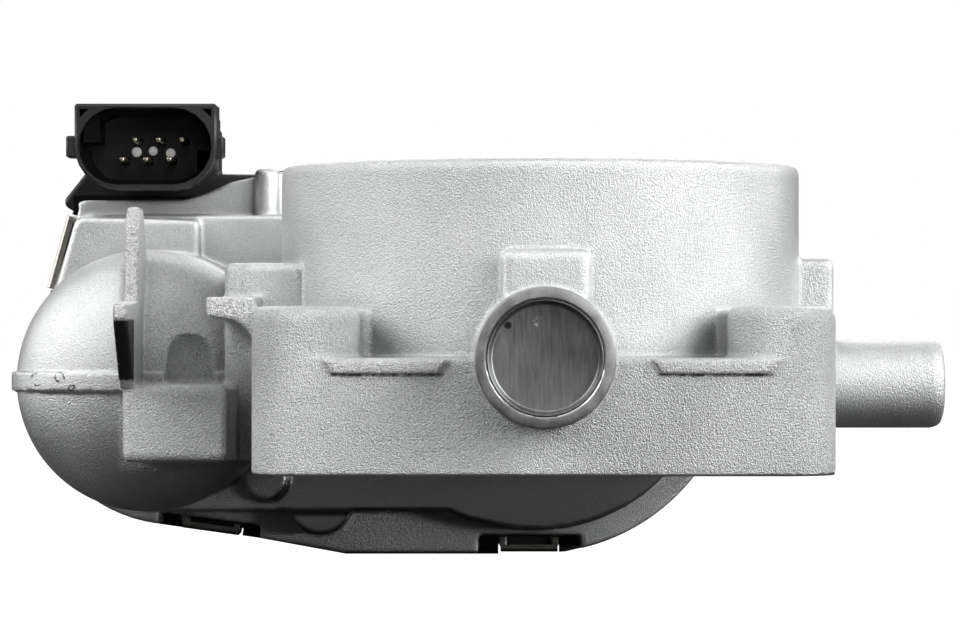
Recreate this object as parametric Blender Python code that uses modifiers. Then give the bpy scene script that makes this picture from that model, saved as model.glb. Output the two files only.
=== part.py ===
"""Electronic throttle body: a die-cast housing with a butterfly valve, driven by a motor through two gear stages.

Lengths in this file are millimetres and are turned into metres as each mesh is made. +Z runs along the air bore
towards the intake hose, Z = 0 is the flange's mounting face, and the throttle shaft lies along Y at X = 0. The
gears are on the +Y side and the motor lies at -X, parallel to the shaft. The shapes are placed about the bore's
centre, and the whole is then moved so that the origin lies on the front land of the mounting face.
"""

import math

import bmesh
import bpy
from mathutils import Matrix, Vector

MM = 0.001
GAP = 0.3  # clearance kept between neighbouring pieces

# Air bore, hose spigot and mounting flange
BORE_R = 41.0
DUCT_R = 45.0
DUCT_TOP = 52.2
FLANGE_HALF = 48.2
FLANGE_TOP = 19.3
FLANGE_CORNER_R = 9.0
LUG_R = FLANGE_CORNER_R - 0.05
LUG_TOP = 27.8
BOLT_AT = FLANGE_HALF - FLANGE_CORNER_R
BOLT_HOLE_R = 3.5

ORIGIN_TO_BORE_Y = 44.2  # from the origin, on the front land of the mounting face, to the centre of the bore

# Throttle shaft and plate
SHAFT_Z = 19.4
SHAFT_R = 5.0
JOURNAL_R = 4.0
DRIVE_END_R = 3.5
PLATE_R = BORE_R - 0.35
PLATE_T = 2.5
REST_OPENING = 7.0  # degrees that the plate stands open without power
PLATE_SCREW_Y = 19.0

# Idle-side boss, its bearing, seal and plug, outermost first
BOSS_R = 11.4
BOSS_FACE_Y = -58.0
BEARING_SEAT_R = 9.5
SEAL_SEAT_R = 7.0
SEAL_T = 3.2

# Gear case: its rim in the XZ plane, then its depths along Y
RIM_R = 37.8
RIM_TOP_Z = 54.6
RIM_MOTOR_AT, RIM_MOTOR_R = (-67.6, 14.6), 27.6
RIM_CORNER_AT, RIM_CORNER_R = (-84.3, 44.5), 3.5
RIM_SIDE = 164.0  # outward direction in degrees of the straight side next to the motor
CASE_FRONT_Y = 44.5
CASE_FLOOR_Y = 48.5
TRAY_FRONT_Y = 56.0
TRAY_FLOOR_Y = 58.5
RIM_Y = 68.0
COVER_Y = RIM_Y + GAP
COVER_FLANGE_Y = 71.0
COVER_BACK_Y = 78.0
COVER_WALL = 2.3
DRIVE_BOSS_R = 13.0
DRIVE_BOSS_Y = 55.2
DRIVE_SEAT_R = 11.1

# Gears: module 1, 25 degree involute teeth
PRESSURE = math.radians(25.0)
ADDENDUM = 0.8
DEDENDUM = 1.2
BACKLASH = 0.12
PINION_TEETH, IDLER_TEETH = 10, 53
IDLER_PINION_TEETH, SECTOR_TEETH = 18, 58
SECTOR_Y = (60.5, 66.5)
IDLER_Y = (67.2, 71.7)
PINION_Y = (66.9, 72.2)
OPEN_TRAVEL = 77.0  # degrees from rest to wide open

# Motor
MOTOR_AT = (-68.6, 14.9)
BARREL_R = 22.9
DOME_Y = 2.0
DOME_DEPTH = 15.0
MOTOR_BAY_R = 19.5
MOTOR_BAY_Y = 3.8
CAN_R = 19.0
CAN_Y = (6.5, 48.5)
MOTOR_PLATE_Y = (48.8, 50.8)
MOTOR_SCREW_R = 26.2
MOTOR_SCREW_ANGLES = (-45.0, 115.0)
SCREW_BOSS_FRONT_Y = (40.4, 41.8)  # the second is hidden in the panel over the motor
PARTING_Z = 14.8

# Connector
PLUG_AT = (-72.4, 57.6)
PLUG_SIZE = (26.3, 15.9)
PLUG_FRONT_Y = 44.0
PLUG_COLLAR_Y = 53.5
PLUG_FLOOR_Y = 60.0
PIN_PITCH = 4.4
PIN_STAGGER = 2.4
PIN_ROW_GAP = 3.7
PIN_SIDE = 1.0

# Spring clips round the cover
CLIP_Y = (61.5, 72.1)
CLIP_T = 0.8
CLIP_SINK = (0.5, 0.95)  # how far the bottom left and bottom clips sit inside the rim's outline
CLIP_TONGUE_DEPTH = 1.5  # pockets shallower than this have only a narrow tongue of the cover in them


def mid_circles(a, ra, b, rb):
    """The upper crossing point of two circles, which places the idler from the two gear centre distances."""
    ax, az = a
    bx, bz = b
    apart = math.hypot(bx - ax, bz - az)
    along = (ra**2 - rb**2 + apart**2) / (2 * apart)
    up = math.sqrt(ra**2 - along**2)
    dx, dz = (bx - ax) / apart, (bz - az) / apart
    return ax + along * dx + up * dz, az + along * dz - up * dx


SHAFT_AT = (0.0, SHAFT_Z)
IDLER_AT = mid_circles(
    SHAFT_AT, (IDLER_PINION_TEETH + SECTOR_TEETH) / 2, MOTOR_AT, (PINION_TEETH + IDLER_TEETH) / 2
)


# ---------------------------------------------------------------- scene and object helpers


def clear_scene():
    for obj in list(bpy.data.objects):
        bpy.data.objects.remove(obj)


def collection(name):
    made = bpy.data.collections.new(name)
    bpy.context.scene.collection.children.link(made)
    return made


def material(name, colour, roughness, metallic):
    made = bpy.data.materials.new(name)
    made.use_nodes = True
    shader = made.node_tree.nodes["Principled BSDF"]
    shader.inputs["Base Color"].default_value = (*colour, 1.0)
    shader.inputs["Roughness"].default_value = roughness
    shader.inputs["Metallic"].default_value = metallic
    return made


clear_scene()
PARTS = collection("throttle_body")
HELPERS = collection("cutters_and_joiners")
CAST = material("cast_aluminium", (0.62, 0.63, 0.63), 0.55, 0.9)
STEEL = material("steel", (0.45, 0.45, 0.46), 0.35, 1.0)
DARK_STEEL = material("dark_steel", (0.20, 0.20, 0.21), 0.4, 1.0)
BRASS = material("brass", (0.72, 0.55, 0.28), 0.35, 1.0)
COPPER = material("copper", (0.72, 0.38, 0.22), 0.4, 1.0)
PLASTIC = material("black_plastic", (0.03, 0.03, 0.03), 0.5, 0.0)
GEAR_PLASTIC = material("gear_plastic", (0.80, 0.77, 0.68), 0.5, 0.0)
RUBBER = material("black_rubber", (0.02, 0.02, 0.02), 0.75, 0.0)
BOARD = material("sensor_board", (0.10, 0.28, 0.16), 0.5, 0.0)
MAGNET = material("magnet", (0.09, 0.09, 0.10), 0.6, 0.3)


def add(name, mesh, finish=None):
    """A new object: a part if it has a finish, otherwise a helper that is never rendered."""
    obj = bpy.data.objects.new(name, mesh)
    if finish is None:
        HELPERS.objects.link(obj)
        obj.hide_render = True
        obj.display_type = "WIRE"
    else:
        PARTS.objects.link(obj)
        mesh.materials.append(finish)
    return obj


def from_bmesh(name, bm, finish=None):
    mesh = bpy.data.meshes.new(name)
    bm.to_mesh(mesh)
    bm.free()
    return add(name, mesh, finish)


def cut(target, *cutters):
    boolean(target, "DIFFERENCE", cutters)


def join(target, *pieces):
    boolean(target, "UNION", pieces)


def boolean(target, operation, others):
    for other in others:
        modifier = target.modifiers.new(f"{operation.lower()}_{other.name}", "BOOLEAN")
        modifier.operation = operation
        modifier.object = other


def bevel(obj, width, segments=2, angle=40.0):
    modifier = obj.modifiers.new("rounded_edges", "BEVEL")
    modifier.width = width * MM
    modifier.segments = segments
    modifier.limit_method = "ANGLE"
    modifier.angle_limit = math.radians(angle)
    return obj


def shade_round(obj):
    obj.data.shade_smooth()
    obj.data.set_sharp_from_angle(angle=math.radians(35.0))
    return obj


TURN = {"X": (0, math.radians(90), 0), "Y": (math.radians(-90), 0, 0), "Z": (0, 0, 0)}


def centred(axis, across, middle):
    """A location whose coordinate along axis is middle, with the other two, in axis order, from across."""
    a, b = across
    return {"X": (middle, a, b), "Y": (a, middle, b), "Z": (a, b, middle)}[axis]


def cylinder(name, radius, span, at=(0, 0), axis="Y", finish=None, segments=32, end_radius=None):
    """A cylinder, or a cone, that runs along an axis over span, centred at the two other coordinates."""
    bm = bmesh.new()
    bmesh.ops.create_cone(
        bm,
        cap_ends=True,
        segments=segments,
        radius1=radius * MM,
        radius2=(radius if end_radius is None else end_radius) * MM,
        depth=(span[1] - span[0]) * MM,
    )
    obj = from_bmesh(name, bm, finish)
    obj.rotation_euler = TURN[axis]
    obj.location = Vector(centred(axis, at, sum(span) / 2)) * MM
    return shade_round(obj)


def box(name, low, high, finish=None):
    bm = bmesh.new()
    size = [h - l for l, h in zip(low, high)]
    bmesh.ops.create_cube(bm, size=MM, matrix=Matrix.Diagonal((*size, 1.0)))
    obj = from_bmesh(name, bm, finish)
    obj.location = Vector([(l + h) / 2 for l, h in zip(low, high)]) * MM
    return obj


def arc(centre, radius, start, end, count):
    """Points on an arc, from one angle to another in degrees."""
    angles = [math.radians(start + (end - start) * i / count) for i in range(count + 1)]
    return [(centre[0] + radius * math.cos(a), centre[1] + radius * math.sin(a)) for a in angles]


def offset(outline, distance):
    """An anticlockwise outline moved outwards by a distance, or inwards if it is negative."""
    moved = []
    for i, here in enumerate(outline):
        before, after = Vector(outline[i - 1]), Vector(outline[(i + 1) % len(outline)])
        first = (Vector(here) - before).normalized()
        second = (after - Vector(here)).normalized()
        out = Vector((first.y + second.y, -first.x - second.x)).normalized()
        share = max(out.dot(Vector((first.y, -first.x))), 0.5)
        moved.append(tuple(Vector(here) + out * (distance / share)))
    return moved


def prism(name, outline, span, axis="Y", finish=None, holes=()):
    """A flat outline given thickness: X and Z points run along Y, Y and Z points along X, X and Y points along Z."""
    curve = bpy.data.curves.new(name, "CURVE")
    curve.dimensions = "2D"
    curve.fill_mode = "BOTH"
    curve.extrude = (span[1] - span[0]) / 2 * MM
    for loop in (outline, *holes):
        spline = curve.splines.new("POLY")
        spline.points.add(len(loop) - 1)
        for point, (a, b) in zip(spline.points, loop):
            point.co = (a * MM, b * MM, 0.0, 1.0)
        spline.use_cyclic_u = True
    source = bpy.data.objects.new(name, curve)
    mesh = bpy.data.meshes.new_from_object(source)
    bpy.data.objects.remove(source)
    bpy.data.curves.remove(curve)
    bm = bmesh.new()
    bm.from_mesh(mesh)
    bpy.data.meshes.remove(mesh)
    bmesh.ops.remove_doubles(bm, verts=bm.verts, dist=1e-6)
    bmesh.ops.dissolve_limit(bm, angle_limit=math.radians(0.5), verts=bm.verts, edges=bm.edges)
    stand = {"X": Matrix.Rotation(math.radians(90), 4, "Z") @ Matrix.Rotation(math.radians(90), 4, "X"),
             "Y": Matrix.Rotation(math.radians(90), 4, "X"), "Z": Matrix.Identity(4)}[axis]
    bmesh.ops.transform(bm, matrix=stand, verts=bm.verts)
    bmesh.ops.recalc_face_normals(bm, faces=bm.faces)
    obj = from_bmesh(name, bm, finish)
    obj.location = Vector(centred(axis, (0, 0), sum(span) / 2)) * MM
    return obj


def turned(name, profile, at=(0, 0), axis="Y", finish=None, steps=32):
    """A turned solid. The profile lists (radius, place along the axis) up its outer side and back down its bore."""
    mesh = bpy.data.meshes.new(name)
    points = [(radius * MM, 0.0, along * MM) for radius, along in reversed(profile)]
    closed = profile[0][0] > 0 and profile[-1][0] > 0
    edges = [(i, i + 1) for i in range(len(points) - 1)] + ([(len(points) - 1, 0)] if closed else [])
    mesh.from_pydata(points, edges, [])
    obj = add(name, mesh, finish)
    screw = obj.modifiers.new("turn", "SCREW")
    screw.steps = screw.render_steps = steps
    screw.use_merge_vertices = True
    screw.merge_threshold = 0.00001
    screw.use_smooth_shade = True
    obj.rotation_euler = TURN[axis]
    obj.location = Vector(centred(axis, at, 0.0)) * MM
    return obj


def wire(name, points, radius, finish):
    """A round wire along points in millimetres."""
    curve = bpy.data.curves.new(name, "CURVE")
    curve.dimensions = "3D"
    curve.bevel_depth = radius * MM
    curve.bevel_resolution = 1
    curve.use_fill_caps = True
    spline = curve.splines.new("POLY")
    spline.points.add(len(points) - 1)
    for point, co in zip(spline.points, points):
        point.co = (*[c * MM for c in co], 1.0)
    curve.materials.append(finish)
    obj = bpy.data.objects.new(name, curve)
    PARTS.objects.link(obj)
    return obj


def empty(name, at):
    """A parent on a joint's axis, for the pieces that turn about it."""
    obj = bpy.data.objects.new(name, None)
    PARTS.objects.link(obj)
    obj.location = Vector((at[0], 0.0, at[1])) * MM
    return obj


def hang(parent, *pieces):
    """Parents pieces that were placed relative to the parent's axis."""
    for piece in pieces:
        piece.parent = parent


# ---------------------------------------------------------------- outlines in the XZ plane


def rim_outline():
    """Outside of the gear case's rim, anticlockwise: round the sector, over the idler, round the motor and back."""
    flat_from = math.degrees(math.asin((RIM_TOP_Z - SHAFT_Z) / RIM_R))
    return (
        arc(SHAFT_AT, RIM_R, -90, flat_from, 18)
        + [(-36.0, RIM_TOP_Z), (-47.0, 53.5), (-53.0, 52.3), (-57.3, 51.4), (-61.8, 49.4), (-66.2, 48.1)]
        + arc(RIM_CORNER_AT, RIM_CORNER_R, 90, RIM_SIDE, 4)
        + arc(RIM_MOTOR_AT, RIM_MOTOR_R, RIM_SIDE, 262, 10)
        + [(-53.0, -15.3), (-36.0, -18.4)]
    )


def cavity_outline():
    """Inside of the gear tray, with room for the sector, the idler wheel and the motor pinion."""
    return (
        arc(SHAFT_AT, 31.5, -92, 116, 22)
        + arc(IDLER_AT, 28.3, 68, 128, 6)
        + [(-76.0, 42.2), (-83.5, 38.5)]
        + arc(MOTOR_AT, 22.3, 160, 262, 9)
        + [(-45.0, -9.2), (-14.0, -12.1)]
    )


def case_outline():
    """Outside of the shallower front of the gear case."""
    return (
        arc(SHAFT_AT, 32.8, -98, 118, 22)
        + [(-45.0, 44.9)]
        + arc((-82.9, 42.0), 2.9, 90, 164, 4)
        + arc(MOTOR_AT, 24.8, 164, 270, 9)
        + [(-16.6, -9.8), (-12.8, -11.4)]
    )


def edge_place(start, end, share):
    """A place part of the way along an edge of an anticlockwise outline, and the edge's outward direction."""
    dx, dz = end[0] - start[0], end[1] - start[1]
    return (start[0] + dx * share, start[1] + dz * share), math.degrees(math.atan2(-dx, dz))


def arc_place(centre, radius, angle):
    return arc(centre, radius, angle, angle, 1)[0], angle


def sunk(place, distance):
    """A place on the rim moved inwards."""
    (x, z), angle = place
    turn = math.radians(angle)
    return (x - distance * math.cos(turn), z - distance * math.sin(turn)), angle


def clip_places():
    """Each clip's place on the rim and outward direction in degrees, its half width, and its pocket's depth."""
    corner = arc_place(RIM_CORNER_AT, RIM_CORNER_R, RIM_SIDE)[0]
    left = edge_place(corner, arc_place(RIM_MOTOR_AT, RIM_MOTOR_R, RIM_SIDE)[0], 0.31)
    bottom_left = edge_place(arc_place(RIM_MOTOR_AT, RIM_MOTOR_R, 262)[0], (-53.0, -15.3), 0.54)
    return {
        "left": (*left, 7.1, 1.3),
        "bottom_left": (*sunk(bottom_left, CLIP_SINK[0]), 5.4, 2.1 - CLIP_SINK[0]),
        "bottom": ((-1.2, SHAFT_Z - RIM_R + CLIP_SINK[1]), -90.0, 5.4, 3.2 - CLIP_SINK[1]),
        "right": (*arc_place(SHAFT_AT, RIM_R, 0), 5.4, 3.2),
        "top_right": (*arc_place(SHAFT_AT, RIM_R, 60), 5.4, 3.2),
        "top": ((-14.0, RIM_TOP_Z), 90.0, 5.4, 3.2),
    }


# ---------------------------------------------------------------- gears


def involute(angle):
    return math.tan(angle) - angle


def gear_points(teeth, first_angle, count=None, flank=2):
    """Points round a module 1 gear's teeth, relative to its axis. The first tooth is centred on first_angle."""
    pitch_r = teeth / 2
    base_r = pitch_r * math.cos(PRESSURE)
    root_r, tip_r = pitch_r - DEDENDUM, pitch_r + ADDENDUM
    half_pitch = math.pi / (2 * teeth) - BACKLASH / (2 * pitch_r)
    radii = [root_r] + [tip_r - (tip_r - root_r) * 0.65 * i / flank for i in reversed(range(flank))]

    def half_angle(radius):
        at = math.acos(min(1.0, base_r / max(radius, base_r)))
        return half_pitch + involute(PRESSURE) - involute(at)

    points = []
    for tooth in range(count or teeth):
        centre = first_angle + tooth * 2 * math.pi / teeth
        rising = [(r, centre - half_angle(r)) for r in radii]
        falling = [(r, centre + half_angle(r)) for r in reversed(radii)]
        points += [(r * math.cos(a), r * math.sin(a)) for r, a in rising + falling]
    return points


def direction(start, end):
    return math.atan2(end[1] - start[1], end[0] - start[0])


def circle(radius, count=32, at=(0.0, 0.0)):
    return arc(at, radius, 0, 360, count)[:-1]


# ---------------------------------------------------------------- housing


def flange_outline():
    """The square flange seen from above."""
    at = BOLT_AT
    corners = ((at, -at, -90), (at, at, 0), (-at, at, 90), (-at, -at, 180))
    return [p for x, y, start in corners for p in arc((x, y), FLANGE_CORNER_R, start, start + 90, 8)]


def bolt_places():
    return [(x * BOLT_AT, y * BOLT_AT) for x in (-1, 1) for y in (-1, 1)]


def motor_screw_places():
    return [arc(MOTOR_AT, MOTOR_SCREW_R, a, a + 1, 1)[0] for a in MOTOR_SCREW_ANGLES]


def dome_profile(grow=0.0):
    """The motor barrel and its domed end, in radius and Y, from the pole of the dome to the gear case."""
    quarter = [math.radians(90 * i / 6) for i in range(7)]
    radius, depth = BARREL_R + grow, DOME_DEPTH + grow
    dome = [(radius * math.sin(a), DOME_Y - depth * math.cos(a)) for a in quarter]
    dome[0] = (0.0, DOME_Y - depth)
    return dome + [(radius, CASE_FLOOR_Y - 1.0), (0.0, CASE_FLOOR_Y - 1.0)]


def duct_and_flange(housing):
    """The spigot wall with its bolt lugs, and the webs that tie the lugs to it."""
    duct = bevel(cylinder("duct", DUCT_R, (0.5, DUCT_TOP), axis="Z", segments=80), 1.4, 2)
    join(housing, duct)
    for i, (x, y) in enumerate(bolt_places()):
        lug = cylinder(f"lug_{i}", LUG_R, (1.0, LUG_TOP), (x, y), "Z", segments=32)
        web = box(f"lug_web_{i}", (-7.0, -4.0, 1.6), (7.0, 4.0, LUG_TOP - 1.0))
        web.rotation_euler = (0, 0, math.atan2(y, x))
        web.location = Vector((x * 0.84, y * 0.84, (LUG_TOP + 0.6) / 2)) * MM
        join(housing, bevel(lug, 1.8, 2), web)


def shaft_boss_and_ports(housing):
    """The idle-side shaft boss, its pad, and the vacuum port with its own pad."""
    boss = bevel(cylinder("shaft_boss", BOSS_R, (BOSS_FACE_Y, -43.0), SHAFT_AT, segments=40), 0.5, 1)
    pad = bevel(box("boss_pad", (-6.9, -48.8, SHAFT_Z), (7.5, -42.0, 36.9)), 1.2, 2)
    side_pad = bevel(box("port_pad", (42.0, -7.0, FLANGE_TOP - 1), (50.7, 7.0, 36.2)), 1.2, 2)
    stub = bevel(cylinder("port_stub", 7.7, (43.0, 70.1), (0.0, 14.4), "X", segments=28), 1.8, 2)
    join(housing, boss, pad, side_pad, stub)
    for name, x0, x1 in (("left", -36.0, -15.9), ("right", 17.8, 38.1)):
        trimmed = [(x0, 19.1), (x0 + 1.6, 16.9), (x1 - 1.6, 16.9), (x1, 19.1)]
        join(housing, prism(f"gate_mark_{name}", trimmed, (-FLANGE_HALF - 0.6, -FLANGE_HALF + 2)))


def motor_side(housing):
    """The domed motor barrel, its parting line, and the web, arm, fin and ledge cast in front of it."""
    barrel = turned("motor_barrel", dome_profile(), MOTOR_AT, steps=40)
    band = turned("parting_band", dome_profile(0.9), MOTOR_AT, steps=40)
    slab = box("band_slab", (-95.0, -20.0, PARTING_Z - 1.7), (-40.0, 50.0, PARTING_Z + 1.7))
    boolean(band, "INTERSECT", [slab])
    web = bevel(box("motor_web", (-53.9, -20.0, 1.6), (-40.0, 47.0, 35.2)), 1.2, 2)
    arm = bevel(box("arm", (-70.4, -30.0, 1.6), (-52.6, 0.0, PARTING_Z - 0.2)), 1.3, 2)
    knuckle = cylinder("arm_knuckle", 5.5, (1.9, PARTING_Z - 0.6), (-56.5, -24.4), "Z", segments=16)
    fin_side = [(-30.0, 14.0), (-43.0, 25.7), (-43.0, 28.4), (-20.5, 28.8), (-20.0, 41.6),
                (-14.5, 44.8), (-10.0, 44.6), (0.0, 33.0), (2.0, 14.0)]
    fin = bevel(prism("fin", fin_side, (-70.9, -68.4), axis="X"), 0.3, 1)
    ledge_side = ([(-47.5, 29.3), (-55.7, 29.3), (-55.7, 26.1)]
                  + arc((-52.7, 20.6), 5.0, 90, 10, 5) + [(-47.5, 17.0)])
    ledge = prism("ledge", ledge_side, (-41.5, -18.0))
    join(housing, barrel, band, web, arm, knuckle, fin, ledge)
    scoop = [(0.0, PARTING_Z - 0.2), (5.0, PARTING_Z - 0.2), (5.0, 20.0), (4.3, 22.3), (2.6, 24.0), (0.0, 24.5)]
    cut(housing, turned("dome_scoop", scoop, (-59.6, -14.2), "Z", steps=20))


def gear_case(housing):
    """The gear case with its wider rim, screw bosses and the raised panel over the motor."""
    case = prism("case_front", case_outline(), (CASE_FRONT_Y, TRAY_FRONT_Y + 1.0))
    tray = prism("case_tray", rim_outline(), (TRAY_FRONT_Y, RIM_Y))
    panel_side = [(-85.3, 43.9), (-92.0, 20.0), (-62.0, 20.0), (-62.4, 44.0), (-84.0, 44.6)]
    panel = bevel(prism("motor_panel", panel_side, (41.5, CASE_FRONT_Y + 1)), 0.8, 2)
    floor_bump = cylinder("case_bump", 5.9, (CASE_FRONT_Y + 0.5, TRAY_FRONT_Y + 0.5), (-40.2, -8.4), segments=20)
    top_post = bevel(cylinder("rim_post", 2.3, (42.0, 53.9), (-50.5, 54.6), "Z", segments=16), 1.0, 2)
    backing = box("bolt_side_fill", (-44.0, 36.0, 1.0), (44.0, CASE_FRONT_Y + 1, LUG_TOP - 1.5))
    join(housing, case, tray, panel, floor_bump, top_post, backing)
    for i, (at, front) in enumerate(zip(motor_screw_places(), SCREW_BOSS_FRONT_Y)):
        join(housing, bevel(cylinder(f"screw_boss_{i}", 4.3, (front, CASE_FLOOR_Y - 1), at, segments=20), 0.6, 1))


def case_cavities(housing):
    """Hollows of the gear case, and the bosses that stand on its floor."""
    cut(housing, prism("case_hollow", offset(case_outline(), -2.6), (CASE_FLOOR_Y, TRAY_FLOOR_Y + 0.5)))
    cut(housing, prism("tray_hollow", cavity_outline(), (TRAY_FLOOR_Y, RIM_Y + 5)))
    idler_boss = cylinder("idler_boss", 6.0, (CASE_FLOOR_Y - 1, 58.5), IDLER_AT, segments=20)
    drive_boss = cylinder("drive_boss", DRIVE_BOSS_R, (CASE_FLOOR_Y - 1, DRIVE_BOSS_Y), SHAFT_AT, segments=32)
    open_stop = cylinder("open_stop", 2.2, (CASE_FLOOR_Y - 1, SECTOR_Y[0] - 0.5), (-2.4, -1.5), segments=12)
    spring_post = cylinder("spring_post", 2.2, (CASE_FLOOR_Y - 1, 56.0), (22.6, 12.0), segments=12)
    join(housing, idler_boss, drive_boss, open_stop, spring_post)
    groove = (RIM_Y - 1.6, RIM_Y + 5)
    ring = prism("seal_groove", offset(cavity_outline(), 2.5), groove, holes=[offset(cavity_outline(), 0.8)])
    cut(housing, ring)


def clip_windows(housing):
    """The pockets in the rim where the clips sit, with two small ears in each that a clip hooks over."""
    for name, (at, angle, half, depth) in clip_places().items():
        turn = math.radians(90 - angle)
        spans = ((-9.4, -half - 0.3), (-half + 1.4, half - 1.4), (half + 0.3, 9.4))
        pieces = [((u0, CLIP_Y[0], -depth), (u1, RIM_Y + 3, 3.8)) for u0, u1 in spans]
        pieces.append(((-9.6, TRAY_FRONT_Y - 1.1, -depth - 0.2), (9.6, CLIP_Y[0] + CLIP_T + GAP, 4.1)))
        pieces.append(((-half - 0.35, CLIP_Y[0] + 0.05, 0.02), (half + 0.35, RIM_Y + 3.1, 4.0)))
        for i, (low, high) in enumerate(pieces):
            cutter = box(f"window_{name}_{i}", low, high)
            put_on_rim(cutter, at, turn)
            cut(housing, cutter)


def put_on_rim(obj, at, turn):
    """Moves an object made with X along the rim and Z outwards to its place on the rim."""
    local = Matrix.Translation(obj.location)
    obj.matrix_basis = Matrix.Translation(Vector((at[0], 0, at[1])) * MM) @ Matrix.Rotation(turn, 4, "Y") @ local


def bores(housing):
    """All the machined holes: the air bore, the bolt holes, the shaft's seats, the motor bay and the port."""
    cut(housing, cylinder("air_bore", BORE_R, (-5, 60), axis="Z", segments=80))
    for i, at in enumerate(bolt_places()):
        cut(housing, cylinder(f"bolt_hole_{i}", BOLT_HOLE_R, (-5, 40), at, "Z", segments=16))
    shaft_line = [
        ("shaft_hole", SHAFT_R + 0.3, (-50, 50)),
        ("idle_seat", BEARING_SEAT_R, (BOSS_FACE_Y - 2, -48.3)),
        ("idle_seal_seat", SEAL_SEAT_R, (-50, -43.0)),
        ("drive_seal_seat", SEAL_SEAT_R, (43.3, 50)),
        ("drive_seat", DRIVE_SEAT_R, (47.6, 60)),
    ]
    for name, radius, span in shaft_line:
        cut(housing, cylinder(name, radius, span, SHAFT_AT, segments=32))
    bay = cylinder("motor_bay", MOTOR_BAY_R, (MOTOR_BAY_Y, CASE_FLOOR_Y + 1), MOTOR_AT, segments=36)
    bay_end = cylinder("motor_bay_end", 11.0, (-5.0, MOTOR_BAY_Y + 0.5), MOTOR_AT, segments=24, end_radius=13.5)
    cut(housing, bay, bay_end)
    for i, at in enumerate(motor_screw_places()):
        cut(housing, cylinder(f"motor_screw_hole_{i}", 2.2, (42.0, CASE_FLOOR_Y + 1), at, segments=14))
    cut(housing, cylinder("idler_pin_hole", 2.5 + 0.15, (50.0, 60.0), IDLER_AT, segments=16))
    cut(housing, cylinder("port_bore", 4.25, (35.0, 75.0), (0.0, 14.4), "X", segments=20))
    cut(housing, cylinder("stop_hole", 2.2, (26.0, 60.0), (28.0, 63.5), "Z", segments=14))


def make_housing():
    housing = prism("housing", flange_outline(), (0.0, FLANGE_TOP), axis="Z", finish=CAST)
    duct_and_flange(housing)
    shaft_boss_and_ports(housing)
    motor_side(housing)
    gear_case(housing)
    case_cavities(housing)
    clip_windows(housing)
    bores(housing)
    return housing


# ---------------------------------------------------------------- throttle shaft group


def make_throttle():
    """The plate, its shaft and screws, and what turns with them in the gear case. The plate rests a little open."""
    axis = empty("throttle_axis", SHAFT_AT)
    shaft = turned(
        "throttle_shaft",
        [(0.0, -55.2), (JOURNAL_R - 0.4, -55.2), (JOURNAL_R, -54.8), (JOURNAL_R, -47.6), (SHAFT_R, -47.6),
         (SHAFT_R, 47.5), (JOURNAL_R, 47.5), (JOURNAL_R, 55.0), (DRIVE_END_R, 55.0), (DRIVE_END_R, 70.6),
         (DRIVE_END_R - 0.5, 71.1), (0.0, 71.1)],
        finish=STEEL, steps=24,
    )
    tilt = math.radians(REST_OPENING)
    slot = box("plate_slot", (-8, -41.2, -PLATE_T / 2 - 0.2), (8, 41.2, PLATE_T / 2 + 0.2))
    flat = box("drive_flat", (-6, 56.0, 2.6), (6, 75, 6))
    plate = bevel(cylinder("throttle_plate", PLATE_R, (-PLATE_T / 2, PLATE_T / 2), axis="Z", finish=BRASS,
                           segments=64), 0.4, 1)
    for turned_piece in (slot, plate, flat):
        turned_piece.rotation_euler = (0, tilt, 0)
    slot.location = plate.location = (0, 0, 0)
    flat.location = Matrix.Rotation(tilt, 3, "Y") @ flat.location
    cut(shaft, slot, flat)
    hang(axis, shaft, plate, slot, flat)
    for i, y in enumerate((-PLATE_SCREW_Y, PLATE_SCREW_Y)):
        hole = cylinder(f"plate_screw_hole_{i}", 2.2, (-9, 9), (0, y), "Z", segments=14)
        screw = turned(f"plate_screw_{i + 1}", screw_profile(2.0, 3.6, 2.0, -5.6, 5.4), (0, y), "Z", STEEL, 16)
        recess = cylinder(f"plate_screw_recess_{i}", 1.5, (6.2, 9.0), (0, y), "Z", segments=6)
        for piece in (hole, screw, recess):
            spin_about_shaft(piece, tilt)
        cut(shaft, hole)
        cut(plate, hole)
        cut(screw, recess)
        hang(axis, hole, screw, recess)
    sector = prism("sector_gear", sector_outline(), SECTOR_Y, finish=GEAR_PLASTIC)
    hub = cylinder("sector_hub", 9.0, (55.6, SECTOR_Y[0] + 1), segments=32)
    drop = cylinder("sector_drop_pin", 2.0, (57.5, SECTOR_Y[0] + 1), rotate((21.0, 0), -REST_OPENING), segments=12)
    join(sector, hub, drop)
    bore = cylinder("sector_bore", DRIVE_END_R + 0.12, (50, 80), segments=24)
    cut(sector, bore)
    rotor = turned("sensor_rotor", [(DRIVE_END_R + 0.1, 66.8), (9.4, 66.8), (9.4, 68.9), (6.0, 68.9), (6.0, 69.9),
                                    (DRIVE_END_R + 0.1, 69.9)], finish=PLASTIC, steps=32)
    inner_race = turned("drive_bearing_inner_race", [(JOURNAL_R + 0.1, 47.9), (5.9, 47.9), (5.9, 54.9),
                                                     (JOURNAL_R + 0.1, 54.9)], finish=STEEL, steps=32)
    limp = wire("limp_home_spring", coil(11.2, 56.4, 59.6, 2.0, 14), 0.7, DARK_STEEL)
    hang(axis, sector, hub, drop, bore, rotor, inner_race, limp)


def spin_about_shaft(obj, tilt):
    """Turns an object about the shaft's axis, by the angle that the plate rests at."""
    obj.matrix_basis = Matrix.Rotation(tilt, 4, "Y") @ Matrix.Translation(obj.location)


def screw_profile(shank_r, head_r, head_h, low, high):
    """A pan-head screw standing on high, as a turned profile from its tip upwards."""
    return [(0.0, low), (shank_r - 0.4, low), (shank_r, low + 0.5), (shank_r, high), (head_r, high),
            (head_r, high + head_h * 0.6), (head_r - 0.7, high + head_h), (0.0, high + head_h)]


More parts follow.
